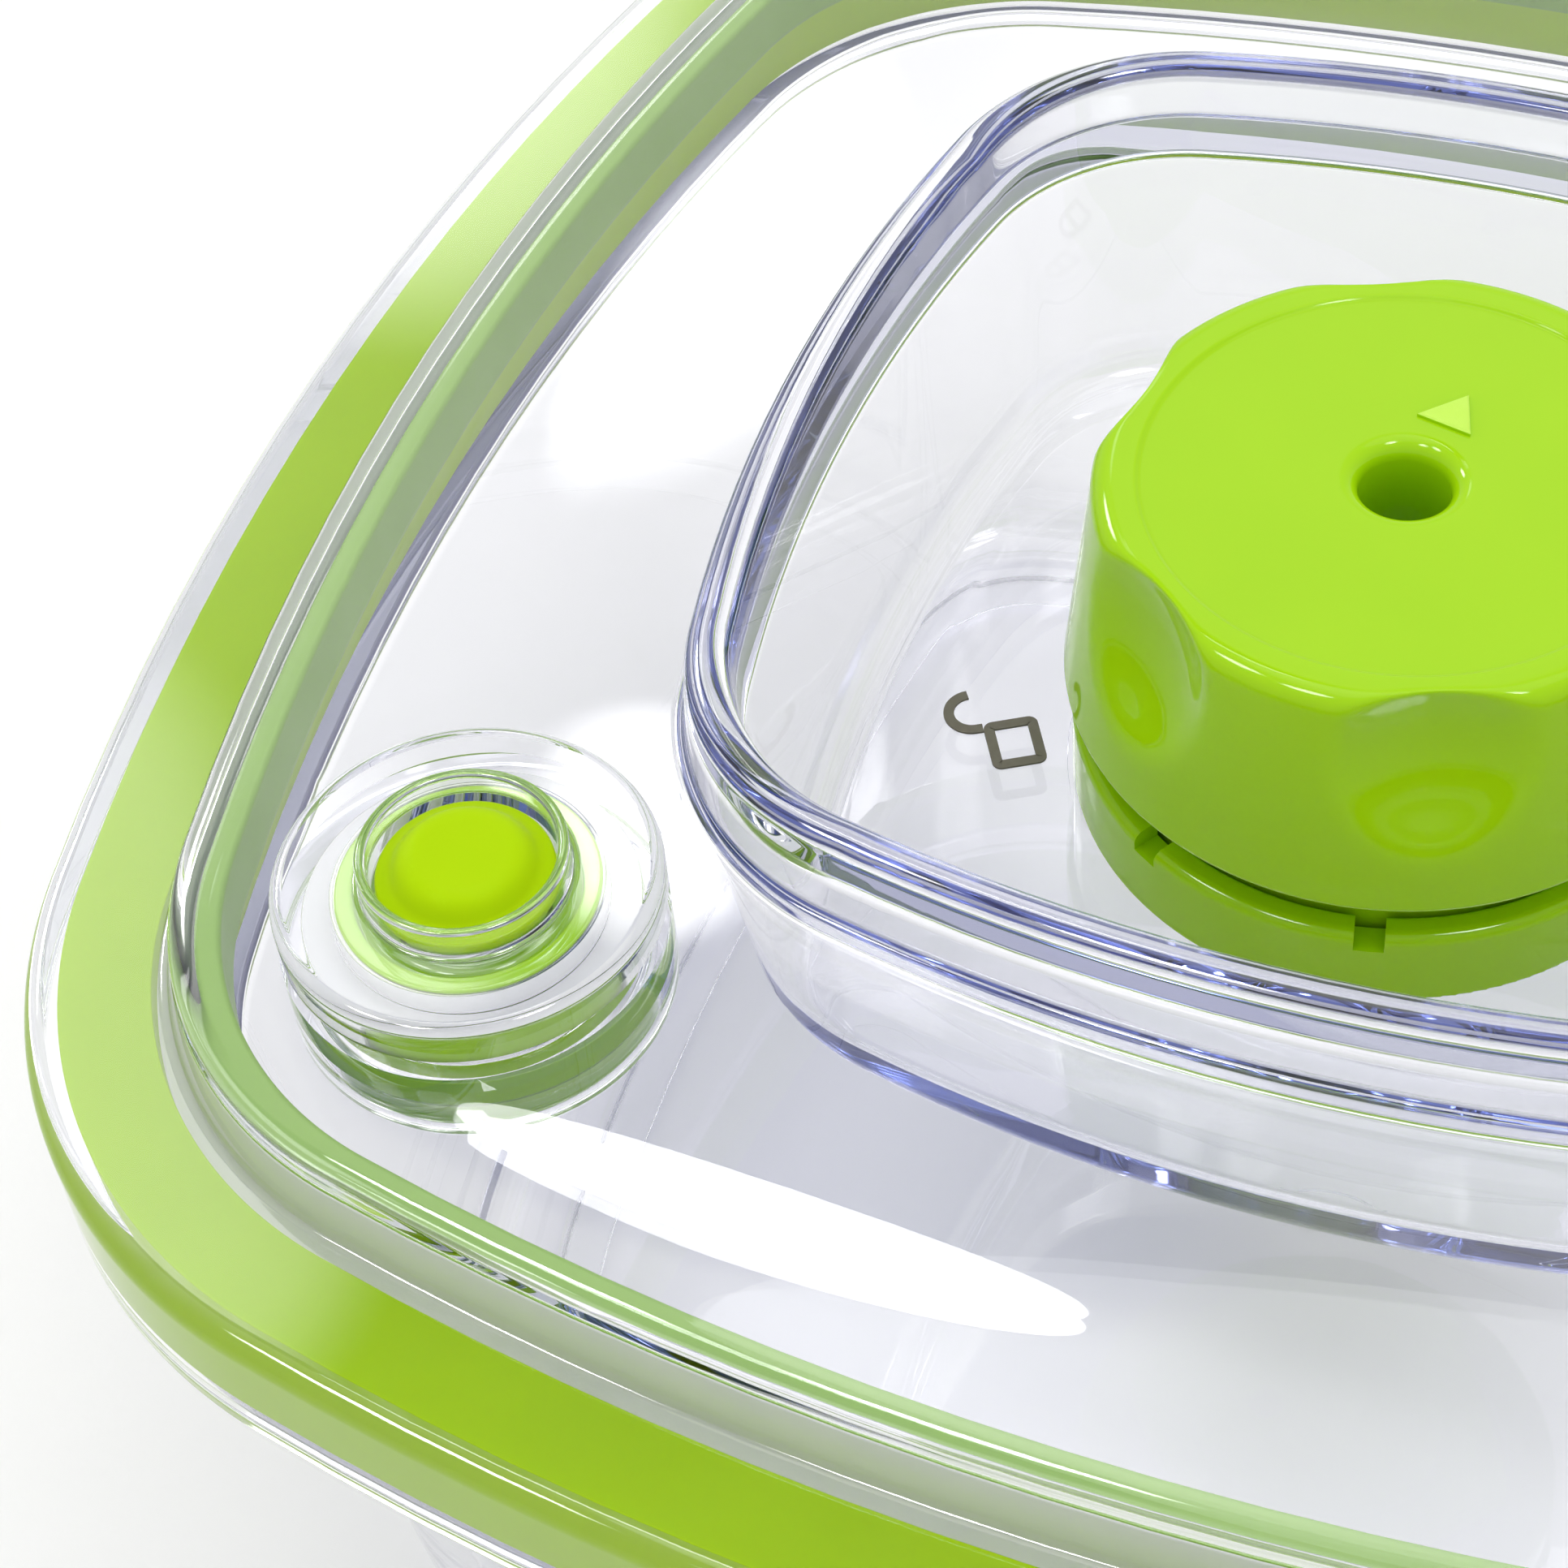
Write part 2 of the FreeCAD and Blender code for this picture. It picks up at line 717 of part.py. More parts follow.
def release_body():
    bore = button_stem_radius + loose_fit
    groove_floor = cavity_radius - 2 * (o_ring_section + press_fit)
    groove_half = o_ring_section + press_fit
    return on_button_axis(turned([
        (bore, plug_top, small_round),
        (plug_radius, plug_top, edge_round),
        (plug_radius, plug_middle + groove_half, 0),
        (groove_floor, plug_middle + groove_half, 0),
        (groove_floor, plug_middle - groove_half, 0),
        (plug_radius, plug_middle - groove_half, 0),
        (plug_radius, plug_bottom, small_round),
        (pin_hole_radius, plug_bottom, 0),
        (pin_hole_radius, plug_bore_floor, 0),
        (bore, plug_bore_floor, small_round),
    ]))


def plug_o_ring():
    radius = cavity_radius - press_fit - o_ring_section
    return on_button_axis(Part.makeTorus(radius, o_ring_section, Vector(0, 0, plug_middle)))


def release_pin():
    head_top = plug_bottom - poppet_thickness
    head_radius = pin_radius + pin_head_width
    return on_button_axis(turned([
        (0, head_top - pin_head, 0),
        (head_radius, head_top - pin_head, small_round),
        (head_radius, head_top, 0),
        (pin_radius, head_top, 0),
        (pin_radius, button_recess_top + pin_socket, 0),
        (0, button_recess_top + pin_socket, 0),
    ]))


def release_poppet():
    return on_button_axis(turned([
        (pin_radius + running_fit, plug_bottom - poppet_thickness, 0),
        (poppet_radius, plug_bottom - poppet_thickness, small_round),
        (poppet_radius, plug_bottom, 0),
        (pin_radius + running_fit, plug_bottom, 0),
    ]))


def release_retainer():
    return on_button_axis(turned([
        (retainer_opening, retainer_bottom, small_round),
        (cavity_radius - press_fit, retainer_bottom, small_round),
        (cavity_radius - press_fit, plug_bottom, 0),
        (retainer_opening, plug_bottom, 0),
    ]))


def biarc(start, start_way, end, end_way):
    """Two arcs that leave start and reach end along the given unit directions."""
    chord = end - start
    ways = start_way + end_way
    square = 2 * (1 - start_way.dot(end_way))
    along = chord.dot(ways)
    reach = (-along + math.sqrt(along ** 2 + square * chord.dot(chord))) / square
    joint = (start + end + (start_way - end_way) * reach) / 2
    edges = []
    for first, way, last in ((start, start_way, joint), (end, end_way * -1, joint)):
        span = last - first
        across = span - way * span.dot(way)
        normal = across / across.Length
        radius = span.dot(span) / (2 * across.Length)
        centre = first + normal * radius
        to_middle = (first + last) / 2 - centre
        to_middle.normalize()
        middle = centre + to_middle * radius
        if first is start:
            edges.append(Part.Arc(first, middle, last).toShape())
        else:
            edges.append(Part.Arc(last, middle, first).toShape())
    return edges


def release_spring():
    """One unbroken wire: a plain coil between the plug's bore and the button's recess."""
    wire_radius = spring_wire / 2
    bottom = plug_bore_floor + wire_radius + running_fit
    top = button_recess_top - wire_radius - running_fit
    pitch = (top - bottom) / spring_turns
    steps = 4 * spring_turns

    def place(step):
        angle = math.radians(90 * step)
        height = bottom + pitch * step / 4
        return Vector(spring_radius * math.cos(angle), spring_radius * math.sin(angle), height)

    def way(step):
        angle = math.radians(90 * step)
        rise = pitch / (2 * math.pi)
        direction = Vector(-spring_radius * math.sin(angle), spring_radius * math.cos(angle), rise)
        return direction / direction.Length

    edges = []
    for step in range(steps):
        edges.extend(biarc(place(step), way(step), place(step + 1), way(step + 1)))
    circle = Part.makeCircle(wire_radius, place(0), way(0))
    coil = Part.Wire(edges).makePipeShell([Part.Wire([circle])], True, False)
    points = [place(step / 8) for step in range(8 * steps + 1)]
    gap = min(here.distanceToPoint(there) for index, here in enumerate(points) for there in points[index + 16:])
    print("release_spring least gap to itself %.2f mm" % (gap - spring_wire))
    return on_button_axis(coil)


pieces = [
    container_body, lid_shell, lid_dish, rim_gasket, unlock_mark, lock_mark,
    knob_cap, valve_base, base_seal, lock_nut, valve_seat, valve_stem, stem_o_ring, gland_collar,
    release_button, release_body, plug_o_ring, release_pin, release_poppet, release_spring,
    release_retainer,
]
for make in pieces:
    solid = make()
    box = solid.BoundBox
    solid.exportStep("parts/%s.step" % make.__name__)
    print("%-18s solids %d valid %s volume %9.1f mm3  z %.2f to %.2f" % (
        make.__name__, len(solid.Solids), solid.isValid(), solid.Volume, box.ZMin, box.ZMax))
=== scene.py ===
import bpy
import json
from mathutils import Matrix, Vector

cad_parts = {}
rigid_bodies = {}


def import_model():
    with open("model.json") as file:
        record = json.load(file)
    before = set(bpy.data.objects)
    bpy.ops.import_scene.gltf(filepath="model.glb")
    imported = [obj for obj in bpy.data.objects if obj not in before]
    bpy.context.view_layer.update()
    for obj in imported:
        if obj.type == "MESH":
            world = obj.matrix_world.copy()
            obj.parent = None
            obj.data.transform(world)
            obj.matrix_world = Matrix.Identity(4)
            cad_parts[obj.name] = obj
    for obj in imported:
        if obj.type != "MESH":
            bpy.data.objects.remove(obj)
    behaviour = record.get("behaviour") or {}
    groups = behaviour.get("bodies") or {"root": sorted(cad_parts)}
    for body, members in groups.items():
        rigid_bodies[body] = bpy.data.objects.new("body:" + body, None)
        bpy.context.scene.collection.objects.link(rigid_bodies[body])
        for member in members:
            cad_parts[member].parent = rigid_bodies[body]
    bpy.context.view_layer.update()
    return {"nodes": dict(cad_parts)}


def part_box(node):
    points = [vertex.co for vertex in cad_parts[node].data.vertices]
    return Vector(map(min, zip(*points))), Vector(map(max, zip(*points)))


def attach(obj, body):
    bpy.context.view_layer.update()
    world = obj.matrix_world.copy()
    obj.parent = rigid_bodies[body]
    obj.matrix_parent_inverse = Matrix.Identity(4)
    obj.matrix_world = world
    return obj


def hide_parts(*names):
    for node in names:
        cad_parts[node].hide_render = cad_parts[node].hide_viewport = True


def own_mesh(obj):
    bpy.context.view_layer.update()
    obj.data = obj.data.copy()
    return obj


# The start-up file's own objects are not wanted
for leftover in list(bpy.data.objects):
    bpy.data.objects.remove(leftover)
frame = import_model()

import json
import math

import bmesh
from bpy.props import FloatProperty, FloatVectorProperty, IntProperty, PointerProperty
from mathutils import Matrix, Vector

bl_info = {
    "name": "Vacuum seal canister",
    "version": (1, 0, 0),
    "blender": (4, 5, 0),
    "location": "View3D > Sidebar > Canister",
    "description": "Builds a clear vacuum canister with a green gasket, a valve knob and a release button",
    "category": "Add Mesh",
}

# Profiles are written in millimetres, as (half width or radius, height, rounding). A rounding takes up at most
# CORNER_SHARE of the lines beside it, and SUPPORT is how far beyond it a further point keeps them flat
MM = 0.001
SMOOTH_ANGLE = math.radians(35)
ARC_STEP = math.radians(11)
CORNER_SHARE = 0.49
SUPPORT = 0.12
SIDE_STEPS = 16
CORNER_STEPS = 36
TURN_STEPS = 192
MERGE_DISTANCE = 1e-8

# Faces that touch in the real canister are held this far apart, so that each shows through clear plastic
SEAT = 0.06

# Soft faces that are squeezed against clear plastic wet it, and reach this far into it
WET = 0.02

# Heights, half widths and radii in millimetres that are used more than once
RIM_TOP = 59.2
DISH_FLOOR = 53.6
DISH_UNDER = 50.6
PANEL_TOP = 73.9
PANEL_UNDER = 70.9
SKIRT_INSIDE = 79.4
FLANGE_AT_SKIRT = 66.1
FLANGE_AT_RIB = 65.9
RIB_OUTSIDE = 73.5
RIB_END = 62.5
BOSS_BORE = 10.6
BOSS_NECK = 8.6
BOSS_STEP = 71.2
PLUG_TOP = 74.6

BUTTON_X = (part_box("release_button")[0].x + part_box("release_button")[1].x) / 2
BUTTON_Y = (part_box("release_button")[0].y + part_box("release_button")[1].y) / 2
RIM_HALF = round(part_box("lid_shell")[1].x, 4)
LID_MIDDLE = Vector((0, 0, 0.07))


def linear(hex_colour):
    """An sRGB hex colour as linear red, green, blue and alpha."""
    channels = [int(hex_colour[i:i + 2], 16) / 255 for i in (1, 3, 5)]
    return [c / 12.92 if c <= 0.04045 else ((c + 0.055) / 1.055) ** 2.4 for c in channels] + [1.0]


def grey(level):
    """A neutral shade as linear red, green, blue and alpha."""
    return (level, level, level, 1.0)


def length(name, description, default):
    """A size in metres for the sidebar."""
    return FloatProperty(name=name, description=description, default=default, unit="LENGTH", precision=5)


def colour(name, description, hex_colour):
    """A colour for the sidebar."""
    return FloatVectorProperty(name=name, description=description, default=linear(hex_colour),
                               size=4, subtype="COLOR", min=0, max=1)


class LidSizes(bpy.types.PropertyGroup):
    rim_half: length("Half width", "Half the lid's width across two opposite sides", RIM_HALF)
    rim_side: length("Side radius", "Radius of the lid's bowed sides", 0.2289)
    rim_corner: length("Corner radius", "Radius of the lid's round corners", 0.0367)
    ridge_half: length("Ridge half width", "Half the width of the ridge round the dish", 0.0421)
    ridge_side: length("Ridge side radius", "Radius of the ridge's bowed sides", 0.1200)
    ridge_corner: length("Ridge corner radius", "Radius of the ridge's round corners", 0.0187)


class KnobSizes(bpy.types.PropertyGroup):
    top_radius: length("Top radius", "Radius of the knob at its top edge", 0.0200)
    bottom_radius: length("Bottom radius", "Radius of the knob at its bottom edge", 0.0220)
    dent_count: IntProperty(name="Dents", description="Number of finger dents round the knob", default=6, min=1)
    dent_radius: length("Dent radius", "Radius of the ball that would fit a dent", 0.0130)
    dent_depth: length("Dent depth", "Depth of a dent below the knob's top radius", 0.0019)
    dent_height: length("Dent height", "Height of the dents' middles", 0.0776)
    dent_softness: length("Dent softness", "Width over which a dent's edge is rounded", 0.0016)
    dent_azimuth: FloatProperty(name="First dent", description="Azimuth of the first dent",
                                default=math.radians(-69), subtype="ANGLE")


class SpringSizes(bpy.types.PropertyGroup):
    wire: length("Wire", "Diameter of the spring's wire", 0.0005)
    radius: length("Coil radius", "Radius of the coil at the wire's middle", 0.0024)
    turns: FloatProperty(name="Turns", description="Turns of the coil", default=5.0, min=1)


class CanisterColours(bpy.types.PropertyGroup):
    plastic: colour("Clear plastic", "Colour that light keeps on its way through the clear plastic", "#9AA0F0")
    silicone: colour("Silicone", "Green of the gasket and the button", "#B0D602")
    silicone_deep: colour("Silicone, deep", "Green of the silicone's darker cloud", "#A8CE02")
    knob: colour("Knob", "Green of the knob and its ring", "#A5D60C")
    knob_deep: colour("Knob, deep", "Green of the knob's darker cloud", "#9ED008")
    ink: colour("Ink", "Grey of the printed padlocks", "#6E695A")


class CanisterSettings(bpy.types.PropertyGroup):
    lid: PointerProperty(type=LidSizes)
    knob: PointerProperty(type=KnobSizes)
    spring: PointerProperty(type=SpringSizes)
    colours: PointerProperty(type=CanisterColours)


def add_node(tree, kind, inputs=None, **settings):
    """Adds a node, sets its properties, and sets or links its inputs by name or index."""
    node = tree.nodes.new(kind)
    for key, value in settings.items():
        setattr(node, key, value)
    for key, value in (inputs or {}).items():
        if isinstance(value, bpy.types.NodeSocket):
            tree.links.new(value, node.inputs[key])
        else:
            node.inputs[key].default_value = value
    return node


class Outline:
    """A square with bowed sides and round corners. Its parallel outlines share the arcs' centres."""

    def __init__(self, half, side_radius, corner_radius):
        self.half = half
        self.side_radius = side_radius
        self.corner_radius = corner_radius
        self.side_centre = half - side_radius
        span = side_radius - corner_radius
        root = math.sqrt(2 * span ** 2 - self.side_centre ** 2)
        self.corner_centre = (self.side_centre + root) / 2
        self.half_turn = math.atan2(self.corner_centre, self.corner_centre - self.side_centre)

    def normals(self):
        """Angles of the outline's normal at each of its points, with the arc that the point is on."""
        for quarter in range(4):
            square = quarter * math.pi / 2
            for step in range(SIDE_STEPS):
                yield square - self.half_turn + 2 * self.half_turn * step / SIDE_STEPS, "side", square
            sweep = math.pi / 2 - 2 * self.half_turn
            for step in range(CORNER_STEPS):
                yield square + self.half_turn + sweep * step / CORNER_STEPS, "corner", square

    def loop(self, half, height):
        """Points of the parallel outline of the given half width."""
        points = []
        for angle, arc, square in self.normals():
            if arc == "side":
                radius = self.side_radius + half - self.half
                centre = Matrix.Rotation(square, 2) @ Vector((self.side_centre, 0))
            else:
                radius = self.corner_radius + half - self.half
                centre = Matrix.Rotation(square, 2) @ Vector((self.corner_centre, self.corner_centre))
            points.append((centre.x + radius * math.cos(angle), centre.y + radius * math.sin(angle), height))
        return points

    def half_at(self, x, y):
        """Half width of the parallel outline that passes through a point."""
        far, near = max(abs(x), abs(y)), min(abs(x), abs(y))
        if math.atan2(near, far - self.side_centre) <= self.half_turn:
            return math.hypot(far - self.side_centre, near) - self.side_radius + self.half
        return math.hypot(far - self.corner_centre, near - self.corner_centre) - self.corner_radius + self.half

    def circle(self, radius, height):
        """A round loop with as many points as the outline's loops."""
        return [(radius * math.cos(a), radius * math.sin(a), height) for a, _, _ in self.normals()]


def rounded(profile, closed=True):
    """Points of a profile whose corners are rounded, with a support point beside each arc."""
    points = []
    last = len(profile) - 1
    for index, (x, z, radius) in enumerate(profile):
        here = Vector((x, z))
        if radius <= 0 or (not closed and index in (0, last)):
            points.append(here)
            continue
        to_before = Vector(profile[index - 1][:2]) - here
        to_after = Vector(profile[(index + 1) % len(profile)][:2]) - here
        before, after = to_before.length, to_after.length
        half_angle = to_before.angle(to_after) / 2
        reach = min(radius / math.tan(half_angle), CORNER_SHARE * min(before, after))
        radius = reach * math.tan(half_angle)
        to_before.normalize()
        to_after.normalize()
        centre = here + (to_before + to_after).normalized() * (radius / math.sin(half_angle))
        start = here + to_before * reach - centre
        end = here + to_after * reach - centre
        turn = math.pi - 2 * half_angle
        side = math.copysign(1, start.x * end.y - start.y * end.x)
        steps = max(3, math.ceil(turn / ARC_STEP))
        if reach + SUPPORT < before / 2:
            points.append(here + to_before * (reach + SUPPORT))
        for step in range(steps + 1):
            points.append(centre + Matrix.Rotation(side * turn * step / steps, 2) @ start)
        if reach + SUPPORT < after / 2:
            points.append(here + to_after * (reach + SUPPORT))
    return [(p.x, p.y) for p in points]


def linked(name, data):
    """A new object in the scene."""
    piece = bpy.data.objects.new(name, data)
    bpy.context.scene.collection.objects.link(piece)
    return piece


def mesh_object(name, vertices, faces):
    """A closed mesh in metres from points in millimetres, merged, turned outwards and smoothly shaded."""
    mesh = bpy.data.meshes.new(name)
    mesh.from_pydata([Vector(v) * MM for v in vertices], [], faces)
    piece = linked(name, mesh)
    finish(piece)
    return piece


def finish(piece):
    """Merges doubled points, turns the faces outwards and shades them smoothly between sharp edges."""
    work = bmesh.new()
    work.from_mesh(piece.data)
    bmesh.ops.remove_doubles(work, verts=work.verts, dist=MERGE_DISTANCE)
    bmesh.ops.recalc_face_normals(work, faces=work.faces)
    work.to_mesh(piece.data)
    work.free()
    piece.data.shade_smooth()
    piece.data.set_sharp_from_angle(angle=SMOOTH_ANGLE)


def loops_object(name, loops, closed=True):
    """A mesh of quads between neighbouring loops, with flat ends unless the last loop joins the first."""
    count = len(loops[0])
    vertices = [point for loop in loops for point in loop]
    faces = []
    for row in range(len(loops) if closed else len(loops) - 1):
        below = (row + 1) % len(loops) * count
        for step in range(count):
            following = (step + 1) % count
            faces.append((row * count + step, row * count + following, below + following, below + step))
    if not closed:
        faces.append(tuple(range(count)))
        faces.append(tuple(range((len(loops) - 1) * count, len(loops) * count)))
    return mesh_object(name, vertices, faces)


def turned_object(name, points, x=0.0, y=0.0, steps=TURN_STEPS):
    """A piece that is turned about an upright axis, from the points of its closed profile."""
    loops = []
    for radius, height in points:
        loops.append([(x + radius * math.cos(2 * math.pi * step / steps),
                       y + radius * math.sin(2 * math.pi * step / steps), height) for step in range(steps)])
    return loops_object(name, loops)


def plain_mesh(piece):
    """Replaces a piece's mesh by what its modifiers make of it, and removes them."""
    graph = bpy.context.evaluated_depsgraph_get()
    mesh = bpy.data.meshes.new_from_object(piece.evaluated_get(graph), depsgraph=graph)
    piece.modifiers.clear()
    old = piece.data
    piece.data = mesh
    if old.users == 0:
        bpy.data.meshes.remove(old)


def combined(piece, other, operation):
    """Joins another shape to a piece, or cuts it out."""
    modifier = piece.modifiers.new("Combine", "BOOLEAN")
    modifier.operation = operation
    modifier.solver = "EXACT"
    modifier.object = other
    plain_mesh(piece)
    bpy.data.objects.remove(other)
    finish(piece)


def node_modifier(piece, tree, **inputs):
    """Runs a geometry tree on a piece with the given values of its named inputs."""
    modifier = piece.modifiers.new(tree.name, "NODES")
    modifier.node_group = tree
    for item in tree.interface.items_tree:
        key = item.name.lower().replace(" ", "_")
        if item.item_type == "SOCKET" and item.in_out == "INPUT" and key in inputs:
            modifier[item.identifier] = inputs[key]
    plain_mesh(piece)
    finish(piece)


def new_tree(name, **sockets):
    """A geometry tree with a geometry input and output, and named inputs of the given kinds."""
    tree = bpy.data.node_groups.new(name, "GeometryNodeTree")
    tree.interface.new_socket("Geometry", in_out="INPUT", socket_type="NodeSocketGeometry")
    tree.interface.new_socket("Geometry", in_out="OUTPUT", socket_type="NodeSocketGeometry")
    for key, kind in sockets.items():
        tree.interface.new_socket(key.replace("_", " ").capitalize(), in_out="INPUT", socket_type=kind)
    return tree, add_node(tree, "NodeGroupInput"), add_node(tree, "NodeGroupOutput")


def worked_out(tree, values, steps):
    """Adds named values, each from the operation and the earlier values or numbers that its step gives."""
    for name, operation, *terms in steps:
        inputs = {index: values.get(term, term) for index, term in enumerate(terms)}
        values[name] = add_node(tree, "ShaderNodeMath", inputs, operation=operation).outputs[0]


def end_tree(tree, group_in, group_out, geometry):
    """Ends a tree in real faces that carry its material."""
    real = add_node(tree, "GeometryNodeRealizeInstances", {"Geometry": geometry})
    dressed = add_node(tree, "GeometryNodeSetMaterial",
                       {"Geometry": real.outputs[0], "Material": group_in.outputs["Material"]})
    tree.links.new(dressed.outputs[0], group_out.inputs["Geometry"])


def dress(piece, body, slot, material, *nodes):
    """Gives a finished piece its material and its body, and hides the nodes that it stands for. The slot is not
    used.
    """
    piece.data.materials.clear()
    piece.data.materials.append(material)
    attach(piece, body)
    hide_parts(*nodes)


def refaced(piece, material, test):
    """Gives another material to the faces of a piece whose middles, in millimetres, pass a test."""
    piece.data.materials.append(material)
    for face in piece.data.polygons:
        if test(*(face.center / MM)):
            face.material_index = 1


# Materials


def new_material(name):
    """A new material with its tree, shader and object coordinates, or the one that exists, without them."""
    material = bpy.data.materials.get(name)
    if material:
        return material, None, None, None
    material = bpy.data.materials.new(name)
    material.use_nodes = True
    tree = material.node_tree
    tree.nodes.clear()
    shader = add_node(tree, "ShaderNodeBsdfPrincipled")
    add_node(tree, "ShaderNodeOutputMaterial", {"Surface": shader.outputs[0]})
    place = add_node(tree, "ShaderNodeTexCoord").outputs["Object"]
    return material, tree, shader, place


def tinted(tree, shader, place, cloud_mm, first, second):
    """A base colour that drifts between two shades, in clouds of about the given size."""
    cloud = add_node(tree, "ShaderNodeTexNoise", {"Vector": place, "Scale": 1 / (cloud_mm * MM), "Detail": 2.0})
    mix = add_node(tree, "ShaderNodeMix", {0: cloud.outputs["Fac"], 6: first, 7: second}, data_type="RGBA")
    tree.links.new(mix.outputs[2], shader.inputs["Base Color"])


def textured(tree, shader, place, grain_mm, depth_mm, patch_mm, smoothest, roughest):
    """A bump of a real grain and depth, and a roughness that varies in patches."""
    grain = add_node(tree, "ShaderNodeTexNoise", {"Vector": place, "Scale": 1 / (grain_mm * MM), "Detail": 1.0})
    bump = add_node(tree, "ShaderNodeBump", {"Height": grain.outputs["Fac"], "Distance": depth_mm * MM})
    tree.links.new(bump.outputs[0], shader.inputs["Normal"])
    patch = add_node(tree, "ShaderNodeTexNoise", {"Vector": place, "Scale": 1 / (patch_mm * MM), "Detail": 2.0})
    rough = add_node(tree, "ShaderNodeMapRange", {
        "Value": patch.outputs["Fac"], "From Min": 0.3, "From Max": 0.7,
        "To Min": smoothest, "To Max": roughest})
    tree.links.new(rough.outputs[0], shader.inputs["Roughness"])


def translucent(weight, radius, depth_mm):
    """Shader values for light that spreads under the surface, by the given shares of red, green and blue."""
    return {"Subsurface Weight": weight, "Subsurface Radius": radius, "Subsurface Scale": depth_mm * MM}


def finished(name, cloud_mm, shades, grain, constants=None):
    """A material of two drifting shades, with the sizes and roughness of its grain, and other shader values."""
    material, tree, shader, place = new_material(name)
    if tree:
        tinted(tree, shader, place, cloud_mm, *(linear(c) if isinstance(c, str) else c for c in shades))
        textured(tree, shader, place, *grain)
        for socket, value in (constants or {}).items():
            shader.inputs[socket].default_value = value
    return material


def clear_copolyester():
    """Moulded and polished copolyester: sharp highlights, a lavender tint where light runs far inside, and a
    painted navy reflection in rounded edges.
    """
    material, tree, shader, place = new_material("clear_moulded_copolyester")
    if tree:
        shader.inputs["Transmission Weight"].default_value = 1.0
        shader.inputs["IOR"].default_value = 1.57
        textured(tree, shader, place, 18, 0.002, 6, 0.0, 0.012)
        # The container's underside and foot are spark-eroded, so what is below them shows softly
        height = add_node(tree, "ShaderNodeSeparateXYZ", {0: place}).outputs["Z"]
        satin = add_node(tree, "ShaderNodeMapRange", {
            "Value": height, "From Min": 1.6 * MM, "From Max": 2.2 * MM, "To Min": 0.4, "To Max": 0.0})
        polish = shader.inputs["Roughness"].links[0].from_socket
        rougher = add_node(tree, "ShaderNodeMath", {0: polish, 1: satin.outputs[0]}, operation="MAXIMUM")
        tree.links.new(rougher.outputs[0], shader.inputs["Roughness"])
        # Painted navy reflection: the base colour turns navy where light has been turned back many times inside
        # a rounded edge
        path = add_node(tree, "ShaderNodeLightPath")
        turns = add_node(tree, "ShaderNodeMapRange", {
            "Value": path.outputs["Glossy Depth"], "From Min": 3.0, "From Max": 12.0})
        painted_navy = add_node(tree, "ShaderNodeMix", {
            0: turns.outputs[0], 6: linear("#FDFDFE"), 7: linear("#2A3878")}, data_type="RGBA")
        tree.links.new(painted_navy.outputs[2], shader.inputs["Base Color"])
        # Lamps shine through to what is behind the clear walls
        through = add_node(tree, "ShaderNodeBsdfTransparent", {"Color": linear("#FAFAFC")})
        mix = add_node(tree, "ShaderNodeMixShader", {
            0: path.outputs["Is Shadow Ray"], 1: shader.outputs[0], 2: through.outputs[0]})
        tint = add_node(tree, "ShaderNodeVolumeAbsorption", {
            "Color": bpy.context.scene.canister.colours.plastic, "Density": 5.0})
        output = tree.nodes["Material Output"]
        tree.links.new(mix.outputs[0], output.inputs["Surface"])
        tree.links.new(tint.outputs[0], output.inputs["Volume"])
    return material


def white_painted_rib_copolyester():
    """Faces of the rib and the boss's step, painted white as a reflection seen from inside the clear lid,
    finely grained.
    """
    return finished("frosted_moulded_copolyester", 5, ("#FFFFFF", "#F6F6FC"), (0.3, 0.01, 3, 0.5, 0.65))


def green_silicone():
    """Moulded silicone: satin, a little translucent, with a soft cloud in its green."""
    colours = bpy.context.scene.canister.colours
    return finished(
        "green_moulded_silicone", 9, (colours.silicone, colours.silicone_deep), (0.5, 0.004, 4, 0.3, 0.42),
        {"IOR": 1.41, "Specular IOR Level": 0.06, **translucent(0.25, (0.6, 1.0, 0.15), 1.2)})


def shaded_silicone():
    """The gasket's thin inner leg: the same silicone in a duller, darker green that is painted shade."""
    return finished("thin_moulded_silicone", 9, ("#8DB84C", "#86B244"), (0.5, 0.004, 4, 0.35, 0.45),
                    {"IOR": 1.41})


def green_abs():
    """Gloss moulded ABS: clean reflections with a trace of orange peel."""
    colours = bpy.context.scene.canister.colours
    return finished(
        "green_gloss_abs", 12, (colours.knob, colours.knob_deep), (3.0, 0.002, 5, 0.02, 0.05),
        {"IOR": 1.53, "Specular IOR Level": 0.18, **translucent(0.15, (0.5, 1.0, 0.1), 1.0)})


def matt_abs_painted_highlight():
    """Spark-eroded ABS of the pointer: a fine grain, and the knob's green painted paler as a highlight."""
    return finished("green_matt_abs", 2, ("#C2EA55", "#B9E545"), (0.15, 0.01, 1, 0.45, 0.6))


def grey_ink():
    """Pad printed ink: matt, a little uneven in cover."""
    ink = bpy.context.scene.canister.colours.ink
    thin_cover = [c * 0.8 for c in ink[:3]] + [1.0]
    return finished("grey_printed_ink", 0.6, (ink, thin_cover), (0.25, 0.01, 0.4, 0.5, 0.65))


def white_silicone():
    """Moulded seal rubber: milky and satin."""
    return finished("white_seal_silicone", 3, ("#E4E4DF", "#D6D7D1"), (0.4, 0.004, 2, 0.35, 0.5),
                    translucent(0.2, (1.0, 1.0, 1.0), 1.0))


def white_acetal():
    """Moulded acetal: smooth and waxy."""
    return finished("white_moulded_acetal", 4, ("#ECEBE6", "#E2E1DB"), (0.8, 0.003, 2, 0.22, 0.34))


def spring_steel():
    """Drawn wire: bright, with fine die marks."""
    return finished("drawn_spring_steel", 0.8, ("#B9BBBD", "#A2A5A8"), (0.1, 0.002, 0.6, 0.18, 0.3),
                    {"Metallic": 1.0})


def seamless_paper():
    """Background paper: matt and nearly white."""
    return finished("pale_seamless_paper", 40, ("#FBFBFA", "#F8F8F7"), (1.0, 0.01, 5, 0.7, 0.8))


